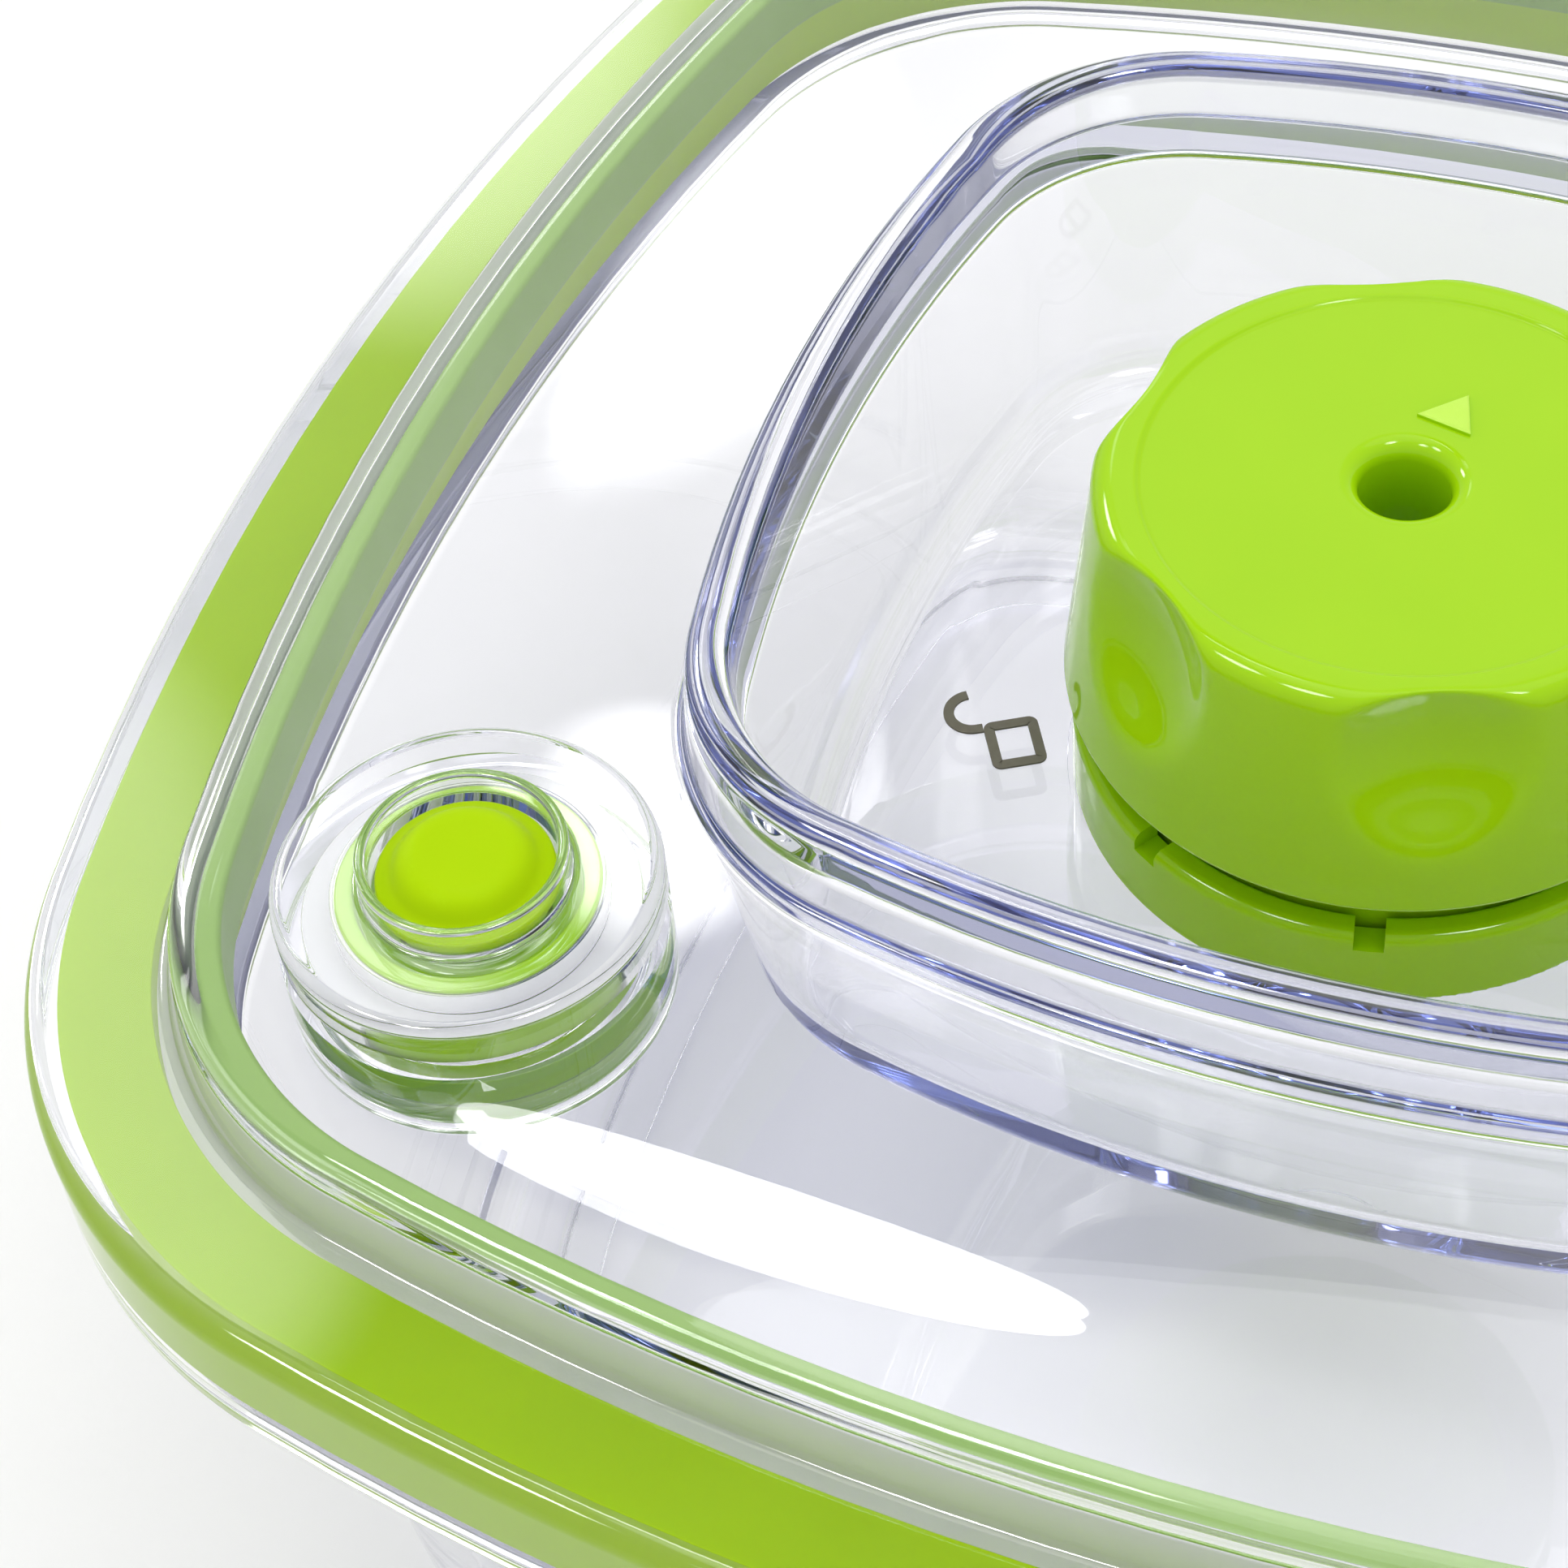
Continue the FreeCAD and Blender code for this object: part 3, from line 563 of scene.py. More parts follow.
# Pieces


def rim_outline(sizes):
    """The lid's outline in millimetres."""
    return Outline(sizes.rim_half / MM, sizes.rim_side / MM, sizes.rim_corner / MM)


def ridge_outline(sizes):
    """The ridge's outline in millimetres."""
    return Outline(sizes.ridge_half / MM, sizes.ridge_side / MM, sizes.ridge_corner / MM)


class CANISTER_OT_container(bpy.types.Operator):
    """Clear box with a turned-out rim, tapered walls, a foot ring and a gate mark"""
    bl_idname = "canister.container"
    bl_label = "Container"

    def execute(self, context):
        rim = rim_outline(context.scene.canister.lid)
        walls = rounded([
            (50.0, 4.5, 0), (63.4, 4.5, 6.0), (68.9, RIM_TOP, 0.4), (78.9, RIM_TOP, 0.4), (78.9, 56.2, 0.8),
            (71.9, 56.2, 0.8), (66.4, 1.5, 8.0), (58.4, 1.5, 0.2), (58.4, 0, 0.4), (54.9, 0, 0.4),
            (54.9, 1.5, 0.2), (50.0, 1.5, 0)], closed=False)
        loops = [rim.circle(4.1, 4.5)]
        loops += [rim.loop(half, height) for half, height in walls]
        loops += [rim.circle(radius, height) for radius, height in ((4.3, 1.5), (4.1, 1.7), (4.1, 2.3))]
        box = loops_object("container", loops, closed=False)
        dress(box, "container", "clear_copolyester", clear_copolyester(), "container_body")
        return {"FINISHED"}


class CANISTER_OT_lid(bpy.types.Operator):
    """Clear lid with a skirt, a channel flange, a raised panel, a ridge, a deep dish and the button's boss"""
    bl_idname = "canister.lid"
    bl_label = "Lid"

    def execute(self, context):
        sizes = context.scene.canister.lid
        rim, ridge = rim_outline(sizes), ridge_outline(sizes)
        dish = rounded([
            (32.8, DISH_FLOOR, 0), (36.8, DISH_FLOOR, 3.0), (39.4, 80.2, 1.35), (42.1, 80.2, 1.35),
            (42.7, PANEL_TOP, 0.8), (45.5, PANEL_TOP, 0)], closed=False)
        flange = rounded([
            (53.0, PANEL_TOP, 0), (57.0, 73.84, 0), (61.0, 73.67, 0), (65.0, 73.39, 0), (68.0, 73.1, 0),
            (71.2, 72.72, 1.6), (72.2, 67.1, 0.8), (81.6, 67.5, 1.4), (81.6, 57.5, 0.4),
            (SKIRT_INSIDE, 57.5, 0.4), (SKIRT_INSIDE, FLANGE_AT_SKIRT, 0.15),
            (RIB_OUTSIDE, FLANGE_AT_RIB, 0.15), (RIB_OUTSIDE, RIB_END, 0.2), (70.1, RIB_END, 0.2),
            (70.5, 69.7, 0.4), (68.0, 70.1, 0), (65.0, 70.39, 0), (61.0, 70.67, 0), (57.0, 70.84, 0),
            (53.0, PANEL_UNDER, 0)], closed=False)
        under = rounded([
            (45.5, PANEL_UNDER, 0), (42.7, PANEL_UNDER, 0.8), (39.5, DISH_UNDER, 5.7), (32.8, DISH_UNDER, 0)],
            closed=False)
        loops = [rim.circle(11.1, DISH_FLOOR - SEAT), rim.circle(21.75, DISH_FLOOR - SEAT),
                 rim.circle(21.77, DISH_FLOOR)]
        loops += [ridge.loop(half, height) for half, height in dish]
        loops += [rim.loop(half, height) for half, height in flange]
        loops += [ridge.loop(half, height) for half, height in under]
        loops += [rim.circle(17.67, DISH_UNDER), rim.circle(17.65, DISH_UNDER + SEAT),
                  rim.circle(11.1, DISH_UNDER + SEAT)]
        lid = loops_object("lid", loops)
        x, y = BUTTON_X / MM, BUTTON_Y / MM
        hole = turned_object("hole", [(0, 68), (11.4, 68), (11.4, 75), (0, 75)], x, y)
        combined(lid, hole, "DIFFERENCE")
        boss = turned_object("boss", rounded([
            (5.9, PLUG_TOP + SEAT, 0), (5.9, 78.7, 0.3), (6.6, 78.7, 0.3), (6.6, 76.5, 0.4), (12.2, 76.5, 0.8),
            (12.2, 64.8, 0.4), (BOSS_BORE, 64.8, 0.4), (BOSS_BORE, BOSS_STEP, 0.2), (BOSS_NECK, BOSS_STEP, 0.2),
            (BOSS_NECK, PLUG_TOP + SEAT, 0.4)]), x, y)
        combined(lid, boss, "UNION")
        dress(lid, "lid", "clear_copolyester", clear_copolyester(), "lid_shell", "lid_dish")

        def on_rib_or_step(at_x, at_y, at_z):
            """Whether a point is on the rib that the gasket grips, or on the step in the boss."""
            half = rim.half_at(at_x, at_y)
            on_rib = 62.3 < at_z < 69.6 and 69.6 < half < (73.7 if at_z < 65.8 else 70.8)
            on_step = abs(at_z - BOSS_STEP) < 0.05 and BOSS_NECK < math.hypot(at_x - x, at_y - y) < BOSS_BORE
            return on_rib or on_step

        # The rib and the boss's step are painted white, a painted reflection in place of what shows through the
        # clear lid
        refaced(lid, white_painted_rib_copolyester(), on_rib_or_step)
        return {"FINISHED"}


def sweep_tree():
    """A section swept round a square with bowed sides and round corners."""
    tree, group_in, group_out = new_tree(
        "bowed_square_sweep", half="NodeSocketFloat", side_radius="NodeSocketFloat",
        corner_radius="NodeSocketFloat", steps="NodeSocketInt", material="NodeSocketMaterial")
    value = {socket.name: socket for socket in group_in.outputs if socket.name}
    value["index"] = add_node(tree, "GeometryNodeInputIndex").outputs[0]
    # The first part of each quarter runs along the side, the rest round the corner
    side_share = SIDE_STEPS / (SIDE_STEPS + CORNER_STEPS)
    nudge = 0.0001
    worked_out(tree, value, [
        ("side centre", "SUBTRACT", "Half", "Side radius"),
        ("span", "SUBTRACT", "Side radius", "Corner radius"),
        ("span squared", "MULTIPLY", "span", "span"),
        ("twice", "MULTIPLY", "span squared", 2.0),
        ("centre squared", "MULTIPLY", "side centre", "side centre"),
        ("difference", "SUBTRACT", "twice", "centre squared"),
        ("root", "SQRT", "difference"),
        ("sum", "ADD", "side centre", "root"),
        ("corner centre", "MULTIPLY", "sum", 0.5),
        ("from side", "SUBTRACT", "corner centre", "side centre"),
        ("half turn", "ARCTAN2", "corner centre", "from side"),
        ("side sweep", "MULTIPLY", "half turn", 2.0),
        ("start angle", "MULTIPLY", "half turn", -1.0),
        ("corner sweep", "SUBTRACT", math.pi / 2, "side sweep"),
        ("quarter steps", "DIVIDE", "Steps", 4.0),
        ("along", "DIVIDE", "index", "quarter steps"),
        ("along nudged", "ADD", "along", nudge),
        ("quarter", "FLOOR", "along nudged"),
        ("share", "SUBTRACT", "along", "quarter"),
        ("quarter turn", "MULTIPLY", "quarter", math.pi / 2),
        ("on side", "LESS_THAN", "share", side_share - nudge),
        ("on corner", "SUBTRACT", 1.0, "on side"),
        ("side part", "DIVIDE", "share", side_share),
        ("side angle", "MULTIPLY_ADD", "side part", "side sweep", "start angle"),
        ("past side", "SUBTRACT", "share", side_share),
        ("corner part", "DIVIDE", "past side", 1 - side_share),
        ("corner angle", "MULTIPLY_ADD", "corner part", "corner sweep", "half turn"),
        ("angle change", "SUBTRACT", "side angle", "corner angle"),
        ("angle", "MULTIPLY_ADD", "on side", "angle change", "corner angle"),
        ("radius", "MULTIPLY_ADD", "on side", "span", "Corner radius"),
        ("centre change", "SUBTRACT", "side centre", "corner centre"),
        ("centre x", "MULTIPLY_ADD", "on side", "centre change", "corner centre"),
        ("centre y", "MULTIPLY", "on corner", "corner centre"),
        ("cosine", "COSINE", "angle"),
        ("sine", "SINE", "angle"),
        ("x", "MULTIPLY_ADD", "cosine", "radius", "centre x"),
        ("y", "MULTIPLY_ADD", "sine", "radius", "centre y"),
    ])
    path = add_node(tree, "GeometryNodeCurvePrimitiveCircle", {"Resolution": value["Steps"]}, mode="RADIUS")
    point = add_node(tree, "ShaderNodeCombineXYZ", {0: value["x"], 1: value["y"]}).outputs[0]
    turned = add_node(tree, "ShaderNodeVectorRotate", {"Vector": point, "Angle": value["quarter turn"]},
                      rotation_type="Z_AXIS").outputs[0]
    placed = add_node(tree, "GeometryNodeSetPosition", {"Geometry": path.outputs[0], "Position": turned})
    upright = add_node(tree, "GeometryNodeSetCurveNormal", {0: placed.outputs[0]}, mode="Z_UP")
    section = add_node(tree, "GeometryNodeMeshToCurve", {0: value["Geometry"]})
    swept = add_node(tree, "GeometryNodeCurveToMesh", {0: upright.outputs[0], 1: section.outputs[0]})
    end_tree(tree, group_in, group_out, swept.outputs[0])
    return tree


def section_object(name, profile, half):
    """The outline of a section: out from the path, and down, because the sweep turns the section over."""
    points = [((x - half) * MM, -z * MM, 0) for x, z in rounded(profile)]
    edges = [(index, (index + 1) % len(points)) for index in range(len(points))]
    mesh = bpy.data.meshes.new(name)
    mesh.from_pydata(points, edges, [])
    return linked(name, mesh)


class CANISTER_OT_gasket(bpy.types.Operator):
    """Green channel ring that grips the lid's rib and seals on the container's rim"""
    bl_idname = "canister.gasket"
    bl_label = "Gasket"

    def execute(self, context):
        sizes = context.scene.canister.lid
        gasket = section_object("gasket", [
            (70.3, RIM_TOP + SEAT, 0.4), (SKIRT_INSIDE + WET, RIM_TOP + SEAT, 0.4),
            (SKIRT_INSIDE + WET, FLANGE_AT_SKIRT + WET, 0.1), (RIB_OUTSIDE - WET, FLANGE_AT_RIB + WET, 0.1),
            (RIB_OUTSIDE - WET, RIB_END - SEAT, 0.1), (69.8, RIB_END - SEAT, 0.1),
            (69.8, 69.4, 0.4), (68.1, 69.4, 0.4), (68.1, 65.2, 1.0)], sizes.rim_half / MM)
        node_modifier(gasket, sweep_tree(), half=sizes.rim_half, side_radius=sizes.rim_side,
                      corner_radius=sizes.rim_corner, steps=4 * (SIDE_STEPS + CORNER_STEPS),
                      material=green_silicone())
        dress(gasket, "lid", "green_silicone", green_silicone(), "rim_gasket")
        rim = rim_outline(sizes)
        # The inner leg gets the silicone's painted-shade copy
        refaced(gasket, shaded_silicone(), lambda x, y, z: z > RIB_END and rim.half_at(x, y) < 69.82)
        return {"FINISHED"}


def dents_tree():
    """Finger dents that repeat round a knob: where a ball cuts in, the wall follows it, with soft edges."""
    tree, group_in, group_out = new_tree(
        "finger_dents", count="NodeSocketInt", ball_radius="NodeSocketFloat", reach="NodeSocketFloat",
        height="NodeSocketFloat", softness="NodeSocketFloat", azimuth="NodeSocketFloat",
        material="NodeSocketMaterial")
    value = {socket.name: socket for socket in group_in.outputs if socket.name}
    place = add_node(tree, "GeometryNodeInputPosition").outputs[0]
    value["x"], value["y"], value["z"] = add_node(tree, "ShaderNodeSeparateXYZ", {0: place}).outputs
    worked_out(tree, value, [
        ("x squared", "MULTIPLY", "x", "x"),
        ("plan squared", "MULTIPLY_ADD", "y", "y", "x squared"),
        ("radius", "SQRT", "plan squared"),
        ("bearing", "ARCTAN2", "y", "x"),
        ("turn", "SUBTRACT", "bearing", "Azimuth"),
        ("sector", "DIVIDE", 2 * math.pi, "Count"),
        ("sectors", "DIVIDE", "turn", "sector"),
        ("nearest sector", "ROUND", "sectors"),
        ("nearest", "MULTIPLY", "nearest sector", "sector"),
        ("aside", "SUBTRACT", "turn", "nearest"),
        ("sine", "SINE", "aside"),
        ("cosine", "COSINE", "aside"),
        ("across", "MULTIPLY", "sine", "Reach"),
        ("ahead", "MULTIPLY", "cosine", "Reach"),
        ("above", "SUBTRACT", "z", "Height"),
        ("above squared", "MULTIPLY", "above", "above"),
        ("off squared", "MULTIPLY_ADD", "across", "across", "above squared"),
        ("ball squared", "MULTIPLY", "Ball radius", "Ball radius"),
        ("room", "SUBTRACT", "ball squared", "off squared"),
        ("chord squared", "MAXIMUM", "room", 0.0),
        ("chord", "SQRT", "chord squared"),
        ("ball", "SUBTRACT", "ahead", "chord"),
        ("wall", "SMOOTH_MIN", "radius", "ball", "Softness"),
        ("divisor", "MAXIMUM", "radius", 1e-6),
        ("share", "DIVIDE", "wall", "divisor"),
        ("new x", "MULTIPLY", "x", "share"),
        ("new y", "MULTIPLY", "y", "share"),
    ])
    moved = add_node(tree, "ShaderNodeCombineXYZ", {0: value["new x"], 1: value["new y"], 2: value["z"]})
    dented = add_node(tree, "GeometryNodeSetPosition", {
        "Geometry": value["Geometry"], "Position": moved.outputs[0]})
    end_tree(tree, group_in, group_out, dented.outputs[0])
    return tree


def divided(rows, longest):
    """Profile points with more between them where they lie further apart than the given length."""
    points = []
    for index, (x, z) in enumerate(rows):
        next_x, next_z = rows[(index + 1) % len(rows)]
        parts = max(1, math.ceil(math.hypot(next_x - x, next_z - z) / longest))
        points += [(x + (next_x - x) * k / parts, z + (next_z - z) * k / parts) for k in range(parts)]
    return points


class CANISTER_OT_knob(bpy.types.Operator):
    """Green valve knob with finger dents, a hose port and a raised pointer"""
    bl_idname = "canister.knob"
    bl_label = "Knob"

    def execute(self, context):
        sizes = context.scene.canister.knob
        top, bottom = sizes.top_radius / MM, sizes.bottom_radius / MM
        rows = rounded([
            (3.0, 69.4, 0), (3.0, 80.7, 1.3), (17.0, 80.7, 0.5), (17.3, 80.9, 0.4), (top, 80.9, 3.2),
            (bottom, 63.5, 0.5), (18.9, 63.5, 0.3), (18.9, 56.9, 0.4), (16.9, 56.9, 0.4), (16.9, 78.3, 0.8),
            (9.2, 78.3, 0.8), (9.2, 61.4, 0.2), (6.5, 61.4, 0.2), (6.5, 69.4, 0)])
        knob = turned_object("knob", divided(rows, longest=0.8), steps=360)
        node_modifier(knob, dents_tree(), count=sizes.dent_count, ball_radius=sizes.dent_radius,
                      reach=sizes.top_radius - sizes.dent_depth + sizes.dent_radius, height=sizes.dent_height,
                      softness=sizes.dent_softness, azimuth=sizes.dent_azimuth, material=green_abs())
        combined(knob, self.pointer(), "UNION")
        dress(knob, "knob", "green_abs", green_abs(), "knob_cap")
        # The pointer's raised faces get the knob's green painted paler as a highlight
        refaced(knob, matt_abs_painted_highlight(), lambda x, y, z: z > 80.75 and 4 < math.hypot(x, y) < 12)
        return {"FINISHED"}

    def pointer(self):
        """A low triangle with eased edges, beside the port."""
        azimuth = math.radians(196)
        corners = [(-0.9, -5.8), (-4.1, -4.05), (-4.1, -7.55)]
        middle = Vector((-3.03, -5.8))
        loops = []
        for share, height in ((1.05, 80.2), (1.05, 80.9), (0.94, 81.03), (0.88, 81.05)):
            loop = []
            for corner in corners:
                along, across = middle + (Vector(corner) - middle) * share
                loop.append((along * math.cos(azimuth) - across * math.sin(azimuth),
                             along * math.sin(azimuth) + across * math.cos(azimuth), height))
            loops.append(loop)
        return loops_object("pointer", loops, closed=False)


def ribbon(path, width, low, high, closed):
    """Vertices and faces of a flat stroke along a path of 2-D points."""
    count = len(path)
    vertices = []
    for index, here in enumerate(path):
        before = path[index - 1] if closed or index else here
        after = path[(index + 1) % count] if closed or index < count - 1 else here
        first = (here - before).normalized()
        second = (after - here).normalized()
        way = (first + second).normalized()
        side = Vector((-way.y, way.x)) * (width / 2 / max(0.5, way.dot(second if second.length else first)))
        for edge, height in ((side, low), (-side, low), (-side, high), (side, high)):
            vertices.append((here.x + edge.x, here.y + edge.y, height))
    faces = []
    for index in range(count if closed else count - 1):
        a, b = 4 * index, 4 * ((index + 1) % count)
        faces += [(a + k, a + (k + 1) % 4, b + (k + 1) % 4, b + k) for k in range(4)]
    if not closed:
        end = 4 * (count - 1)
        faces += [(0, 1, 2, 3), (end, end + 1, end + 2, end + 3)]
    return vertices, faces


class CANISTER_OT_padlocks(bpy.types.Operator):
    """Printed open and closed padlocks on the dish floor"""
    bl_idname = "canister.padlocks"
    bl_label = "Padlocks"

    def execute(self, context):
        stroke, easing = 0.75, 0.3
        half, height = 2.2 - stroke / 2, 3.9
        bow, leg, bow_steps = 1.65, 0.5, 18
        low, high = DISH_FLOOR + SEAT / 3, 53.78
        reach, lean = 23.6, math.radians(16)
        for name, node, azimuth, bow_middle in (("open_padlock", "unlock_mark", 194.5, half + bow),
                                                ("closed_padlock", "lock_mark", 104.5, 0.0)):
            frame_path = [Vector(p) for p in rounded([
                (-half, stroke / 2, easing), (half, stroke / 2, easing), (half, height - stroke / 2, easing),
                (-half, height - stroke / 2, easing)])]
            foot, spring_line = height, height + leg
            bow_path = [Vector((bow_middle - bow, foot)), Vector((bow_middle - bow, spring_line - 0.05))]
            for step in range(bow_steps + 1):
                angle = math.pi * step / bow_steps
                across, above = bow * math.cos(angle), bow * math.sin(angle)
                bow_path.append(Vector((bow_middle - across, spring_line + above)))
            if bow_middle == 0:
                bow_path += [Vector((bow, spring_line - 0.05)), Vector((bow, foot))]
            vertices, faces = ribbon(frame_path, stroke, low, high, True)
            more, more_faces = ribbon(bow_path, stroke, low, high, False)
            faces += [tuple(i + len(vertices) for i in face) for face in more_faces]
            turn = math.radians(azimuth - 90)
            place = (Matrix.Rotation(turn, 4, "Z") @ Matrix.Translation((0, reach, 0))
                     @ Matrix.Rotation(lean, 4, "Z"))
            mark = mesh_object(name, [place @ Vector(v) for v in vertices + more], faces)
            dress(mark, "lid", "grey_ink", grey_ink(), node)
        return {"FINISHED"}


def coil_tree():
    """A wire wound into a plain coil."""
    tree, group_in, group_out = new_tree(
        "wound_coil", wire="NodeSocketFloat", radius="NodeSocketFloat", turns="NodeSocketFloat",
        height="NodeSocketFloat", place="NodeSocketVector", material="NodeSocketMaterial")
    value = group_in.outputs
    coil = add_node(tree, "GeometryNodeCurveSpiral", {
        "Resolution": 48, "Rotations": value["Turns"], "Start Radius": value["Radius"],
        "End Radius": value["Radius"], "Height": value["Height"]})
    half = add_node(tree, "ShaderNodeMath", {0: value["Wire"], 1: 0.5}, operation="MULTIPLY")
    wire = add_node(tree, "GeometryNodeCurvePrimitiveCircle", {"Resolution": 14, "Radius": half.outputs[0]})
    drawn = add_node(tree, "GeometryNodeCurveToMesh", {
        0: coil.outputs[0], 1: wire.outputs[0], "Fill Caps": True})
    placed = add_node(tree, "GeometryNodeTransform", {0: drawn.outputs[0], "Translation": value["Place"]})
    end_tree(tree, group_in, group_out, placed.outputs[0])
    return tree


class CANISTER_OT_release(bpy.types.Operator):
    """Release button with a domed top, in a plug with a stepped top"""
    bl_idname = "canister.release"
    bl_label = "Release button and plug"

    def execute(self, context):
        x, y = BUTTON_X / MM, BUTTON_Y / MM
        button = turned_object("button_dome", rounded([
            (0, 75.7, 0), (0, 78.5, 0), (3.7, 78.45, 2.6), (4.7, 77.0, 1.0), (5.6, 76.7, 0.3), (5.6, 76.0, 0.3),
            (4.5, 76.0, 0.1), (4.5, 70.9, 0.4), (3.3, 70.9, 0.1), (3.3, 74.9, 0.1), (1.35, 74.9, 0.1),
            (1.35, 75.7, 0.1)]), x, y)
        dress(button, "button", "green_silicone", green_silicone(), "release_button")
        plug = turned_object("release_plug", rounded([
            (4.8, 73.1, 0.2), (6.9, 73.1, 0.2), (7.2, PLUG_TOP, 0.3), (8.4, PLUG_TOP, 0.4), (8.4, 69.35, 0.1),
            (BOSS_BORE + WET, 69.35, 0.1), (BOSS_BORE + WET, 66.8 + SEAT, 0.4), (2.0, 66.8 + SEAT, 0.1),
            (2.0, 68.7, 0.1), (4.8, 68.7, 0.3)]), x, y)
        dress(plug, "lid", "green_abs", green_abs(), "release_body")
        return {"FINISHED"}


class CANISTER_OT_spring(bpy.types.Operator):
    """Wire spring under the release button"""
    bl_idname = "canister.spring"
    bl_label = "Button spring"

    def execute(self, context):
        sizes = context.scene.canister.spring
        low, high = (corner.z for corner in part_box("release_spring"))
        spring = linked("spring", bpy.data.meshes.new("spring"))
        node_modifier(spring, coil_tree(), wire=sizes.wire, radius=sizes.radius, turns=sizes.turns,
                      height=high - low - sizes.wire, place=(BUTTON_X, BUTTON_Y, low + sizes.wire / 2),
                      material=spring_steel())
        dress(spring, "lid", "spring_steel", spring_steel(), "release_spring")
        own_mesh(spring)
        return {"FINISHED"}


class CANISTER_OT_fittings(bpy.types.Operator):
    """Finishes of the turned and moulded pieces that keep their shapes"""
    bl_idname = "canister.fittings"
    bl_label = "Valve and button fittings"

    def execute(self, context):
        finishes = {
            green_abs: ("valve_base", "lock_nut", "release_retainer"),
            green_silicone: ("plug_o_ring",),
            white_silicone: ("base_seal", "valve_seat", "stem_o_ring", "release_poppet"),
            white_acetal: ("valve_stem", "gland_collar", "release_pin"),
        }
        for finish, nodes in finishes.items():
            for node in nodes:
                frame["nodes"][node].material_slots[0].material = finish()
        return {"FINISHED"}


def towards(azimuth, elevation):
    """The direction of an azimuth and elevation in degrees."""
    azimuth, elevation = math.radians(azimuth), math.radians(elevation)
    return Vector((math.cos(azimuth) * math.cos(elevation), math.sin(azimuth) * math.cos(elevation),
                   math.sin(elevation)))


# Zones of the white room, each laid over those before it: azimuth, elevation, the radii of an even core and of
# the faded edge, all in degrees, and the shade
NAVY = (0.07, 0.09, 0.3, 1.0)
ZONES = (
    # Pale zones below the strip softbox and above it
    (131, 42, 3, 11, grey(1.3)),
    (104, 45, 6, 11, grey(1.7)),
    (118, 74, 7, 12, grey(1.7)),
    (118.5, 39.5, 2, 5, grey(6.0)),
    # Dark zones just below the strip softbox
    (131, 57, 5, 9, NAVY),
    (118, 57, 5, 9, NAVY),
    # Small bright zones under the dark ones
    (130, 50.5, 2, 4.5, grey(4.0)),
    (119.8, 49.7, 1.0, 2.2, grey(8.0)),
    # Small, very bright zones round the room, for highlights
    (152, 35, 2, 7, grey(36.0)),
    (-150, 59, 2, 7, grey(36.0)),
    (-115, 61, 2, 7, grey(36.0)),
    (-27, 65, 2, 8, grey(36.0)),
)


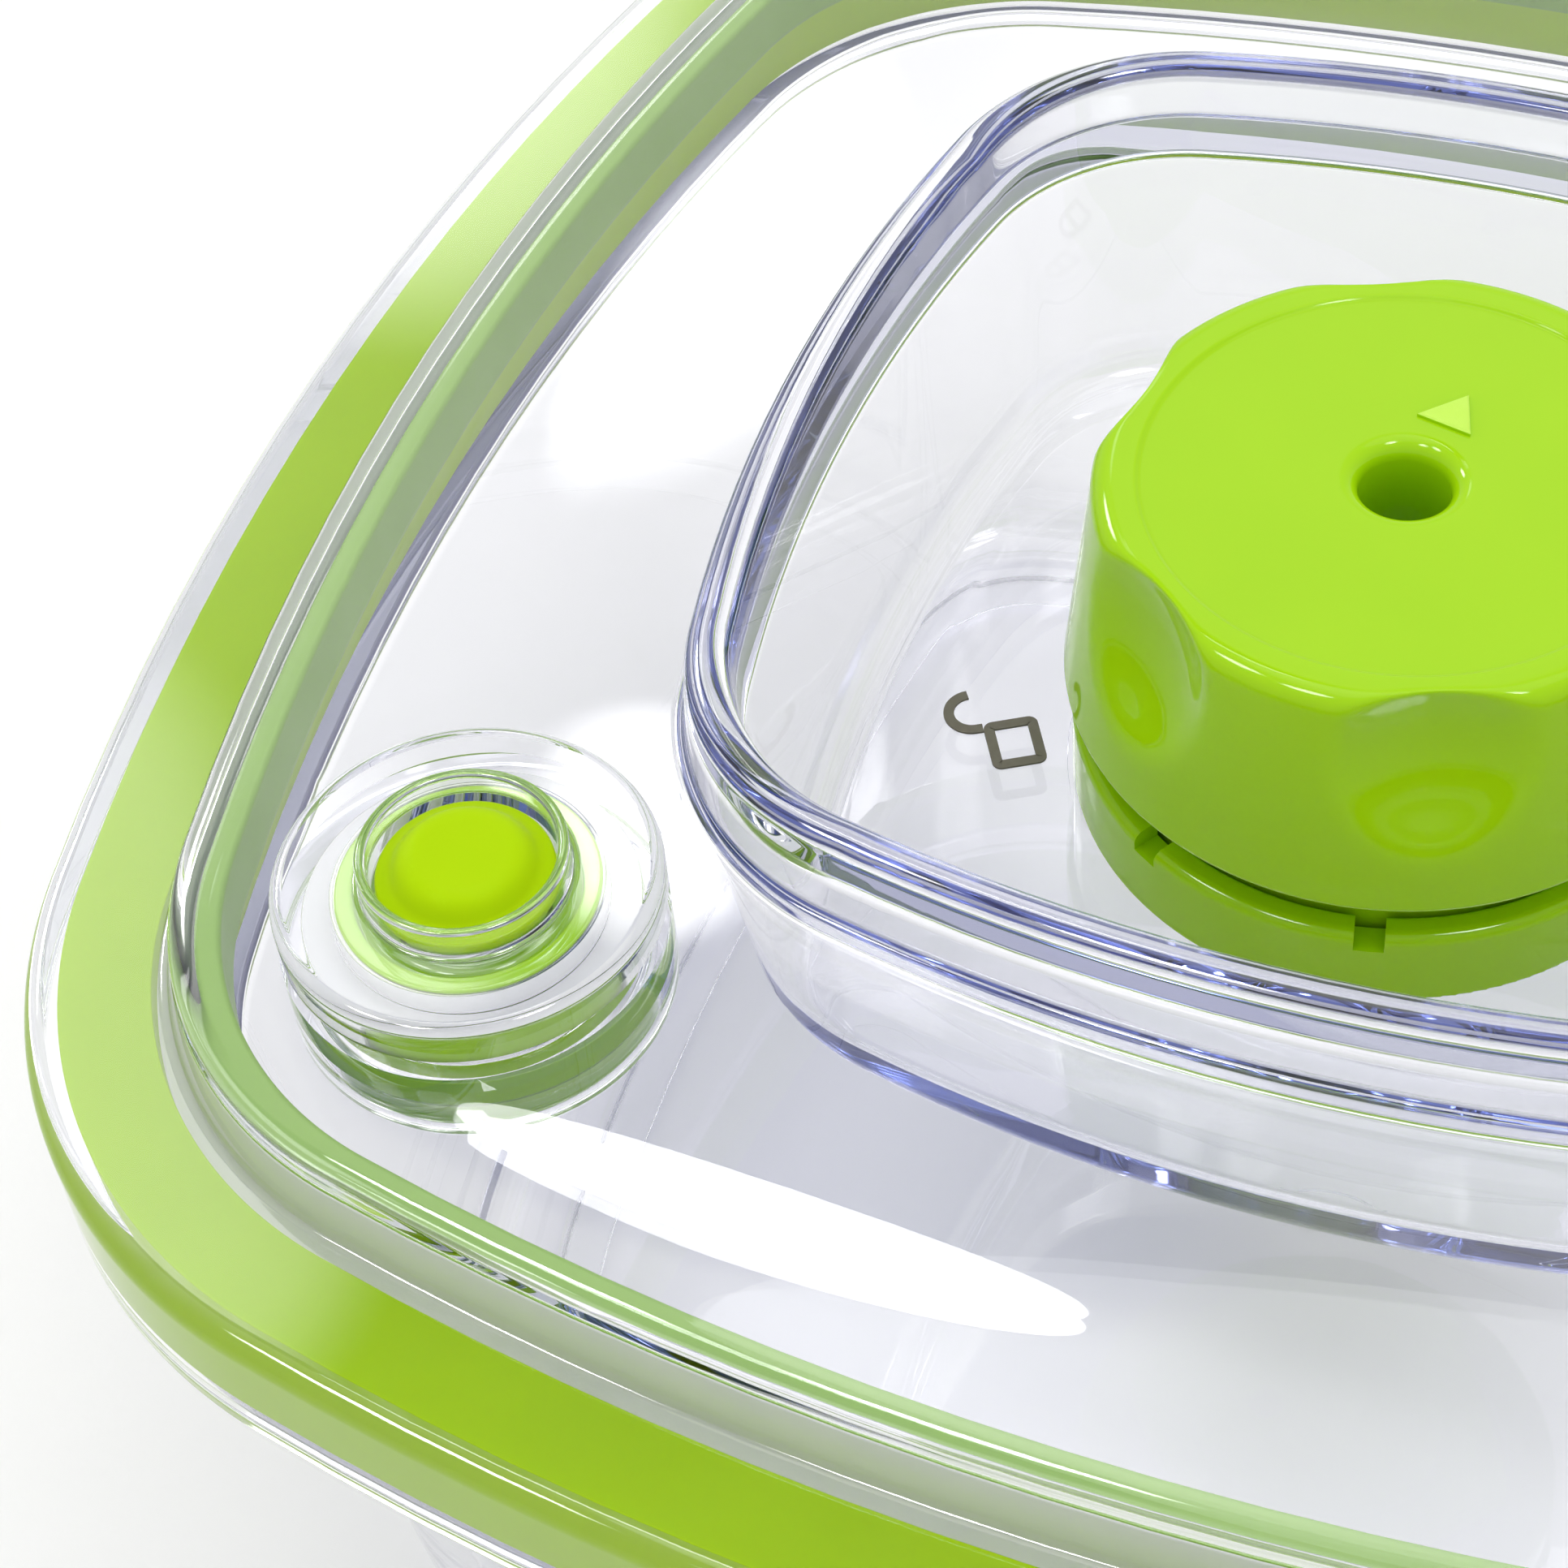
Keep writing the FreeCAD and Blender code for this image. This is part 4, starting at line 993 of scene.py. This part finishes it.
class CANISTER_OT_stage(bpy.types.Operator):
    """Pale floor, soft studio light and the camera"""
    bl_idname = "canister.stage"
    bl_label = "Stage"

    def execute(self, context):
        scene = context.scene
        scene.view_settings.view_transform = "Standard"
        # Light that runs along inside the clear walls is turned back many times
        scene.cycles.max_bounces = 32
        scene.cycles.transmission_bounces = 32
        scene.cycles.glossy_bounces = 32
        self.floor()
        self.world(scene)
        self.lamps()
        self.camera(scene)
        return {"FINISHED"}

    def floor(self):
        """A sheet of paper just below the foot, far wider than the picture."""
        mesh = bpy.data.meshes.new("floor")
        half, low = 2.0, -0.0002
        mesh.from_pydata([(-half, -half, low), (half, -half, low), (half, half, low), (-half, half, low)], [],
                         [(0, 1, 2, 3)])
        mesh.materials.append(seamless_paper())
        floor = linked("floor", mesh)

    def world(self, scene):
        """A white room with soft brighter and darker zones, which show in gloss and clear plastic only."""
        world = bpy.data.worlds.new("studio")
        scene.world = world
        world.use_nodes = True
        tree = world.node_tree
        tree.nodes.clear()
        light_path = add_node(tree, "ShaderNodeLightPath").outputs
        way = add_node(tree, "ShaderNodeTexCoord").outputs["Generated"]
        room = grey(1.0)
        for azimuth, elevation, core, edge, shade in ZONES:
            near = add_node(tree, "ShaderNodeVectorMath", {0: way, 1: towards(azimuth, elevation)},
                            operation="DOT_PRODUCT").outputs["Value"]
            zone = add_node(tree, "ShaderNodeMapRange", {
                "Value": near, "From Min": math.cos(math.radians(edge)),
                "From Max": math.cos(math.radians(core))}, interpolation_type="SMOOTHSTEP").outputs[0]
            room = add_node(tree, "ShaderNodeMix", {0: zone, 6: room, 7: shade}, data_type="RGBA").outputs[2]
        value = {"glossy": light_path["Is Glossy Ray"], "through": light_path["Is Transmission Ray"],
                 "scattered": light_path["Diffuse Depth"]}
        worked_out(tree, value, [
            ("shiny", "MAXIMUM", "glossy", "through"),
            ("straight", "LESS_THAN", "scattered", 0.5),
            ("zoned", "MULTIPLY", "shiny", "straight")])
        lit = add_node(tree, "ShaderNodeMix", {0: value["zoned"], 6: grey(0.95), 7: room}, data_type="RGBA")
        seen = add_node(tree, "ShaderNodeMix", {
            0: light_path["Is Camera Ray"], 6: lit.outputs[2], 7: grey(1.0)}, data_type="RGBA")
        back = add_node(tree, "ShaderNodeBackground", {"Color": seen.outputs[2], "Strength": 1.0})
        add_node(tree, "ShaderNodeOutputWorld", {"Surface": back.outputs[0]})

    def lamps(self):
        """Oval softboxes, by azimuth, elevation and distance from the lid, then tilt, size and brightness."""
        for name, azimuth, elevation, distance, tilt, width, height, brightness in (
                ("overhead_softbox", 60, 82, 1.2, 0, 1.0, 1.0, 1.2),
                ("strip_softbox", 127.68, 62.84, 3.985, -27.6, 0.9, 0.32, 9.0)):
            lamp = bpy.data.lights.new(name, "AREA")
            lamp.shape = "ELLIPSE"
            lamp.size, lamp.size_y = width, height
            lamp.energy = brightness * math.pi * (math.pi / 4 * width * height)
            way = towards(azimuth, elevation)
            turn = way.to_track_quat("Z", "Y").to_matrix().to_4x4()
            turn = turn @ Matrix.Rotation(math.radians(tilt), 4, "Z")
            linked(name, lamp).matrix_world = Matrix.Translation(LID_MIDDLE + way * distance) @ turn

    def camera(self, scene):
        """The photo's camera, fitted to the lid's outlines."""
        azimuth, elevation, roll = math.radians(26.22), math.radians(49.32), math.radians(-5.99)
        target, distance = Vector((-0.03343, -0.02626, 0.0675)), 0.2286
        back = Vector((math.sin(azimuth) * math.cos(elevation), -math.cos(azimuth) * math.cos(elevation),
                       math.sin(elevation)))
        right = Vector((math.cos(azimuth), math.sin(azimuth), 0))
        up = back.cross(right)
        tilted = math.cos(roll) * right + math.sin(roll) * up
        up = math.cos(roll) * up - math.sin(roll) * right
        camera = linked("camera", bpy.data.cameras.new("camera"))
        camera.data.lens = 80.55
        camera.data.clip_start = 0.01
        camera.matrix_world = Matrix.Translation(target + back * distance) @ Matrix(
            (tilted, up, back)).transposed().to_4x4()
        scene.camera = camera


class CANISTER_PT_sidebar(bpy.types.Panel):
    """The canister's sizes, colours and building steps"""
    bl_label = "Vacuum seal canister"
    bl_idname = "CANISTER_PT_sidebar"
    bl_space_type = "VIEW_3D"
    bl_region_type = "UI"
    bl_category = "Canister"

    def draw(self, context):
        settings = context.scene.canister
        for group in (settings.lid, settings.knob, settings.spring, settings.colours):
            box = self.layout.box()
            for key in group.__annotations__:
                box.prop(group, key)
        for operator in OPERATORS:
            self.layout.operator(operator.bl_idname)


OPERATORS = [
    CANISTER_OT_container, CANISTER_OT_lid, CANISTER_OT_gasket, CANISTER_OT_knob, CANISTER_OT_padlocks,
    CANISTER_OT_release, CANISTER_OT_spring, CANISTER_OT_fittings, CANISTER_OT_stage,
]
CLASSES = [LidSizes, KnobSizes, SpringSizes, CanisterColours, CanisterSettings, *OPERATORS,
           CANISTER_PT_sidebar]


def register():
    for kind in CLASSES:
        bpy.utils.register_class(kind)
    bpy.types.Scene.canister = PointerProperty(type=CanisterSettings)


def unregister():
    del bpy.types.Scene.canister
    for kind in reversed(CLASSES):
        bpy.utils.unregister_class(kind)


def main():
    register()
    for operator in OPERATORS:
        family, name = operator.bl_idname.split(".")
        getattr(getattr(bpy.ops, family), name)()


if __name__ == "__main__":
    main()
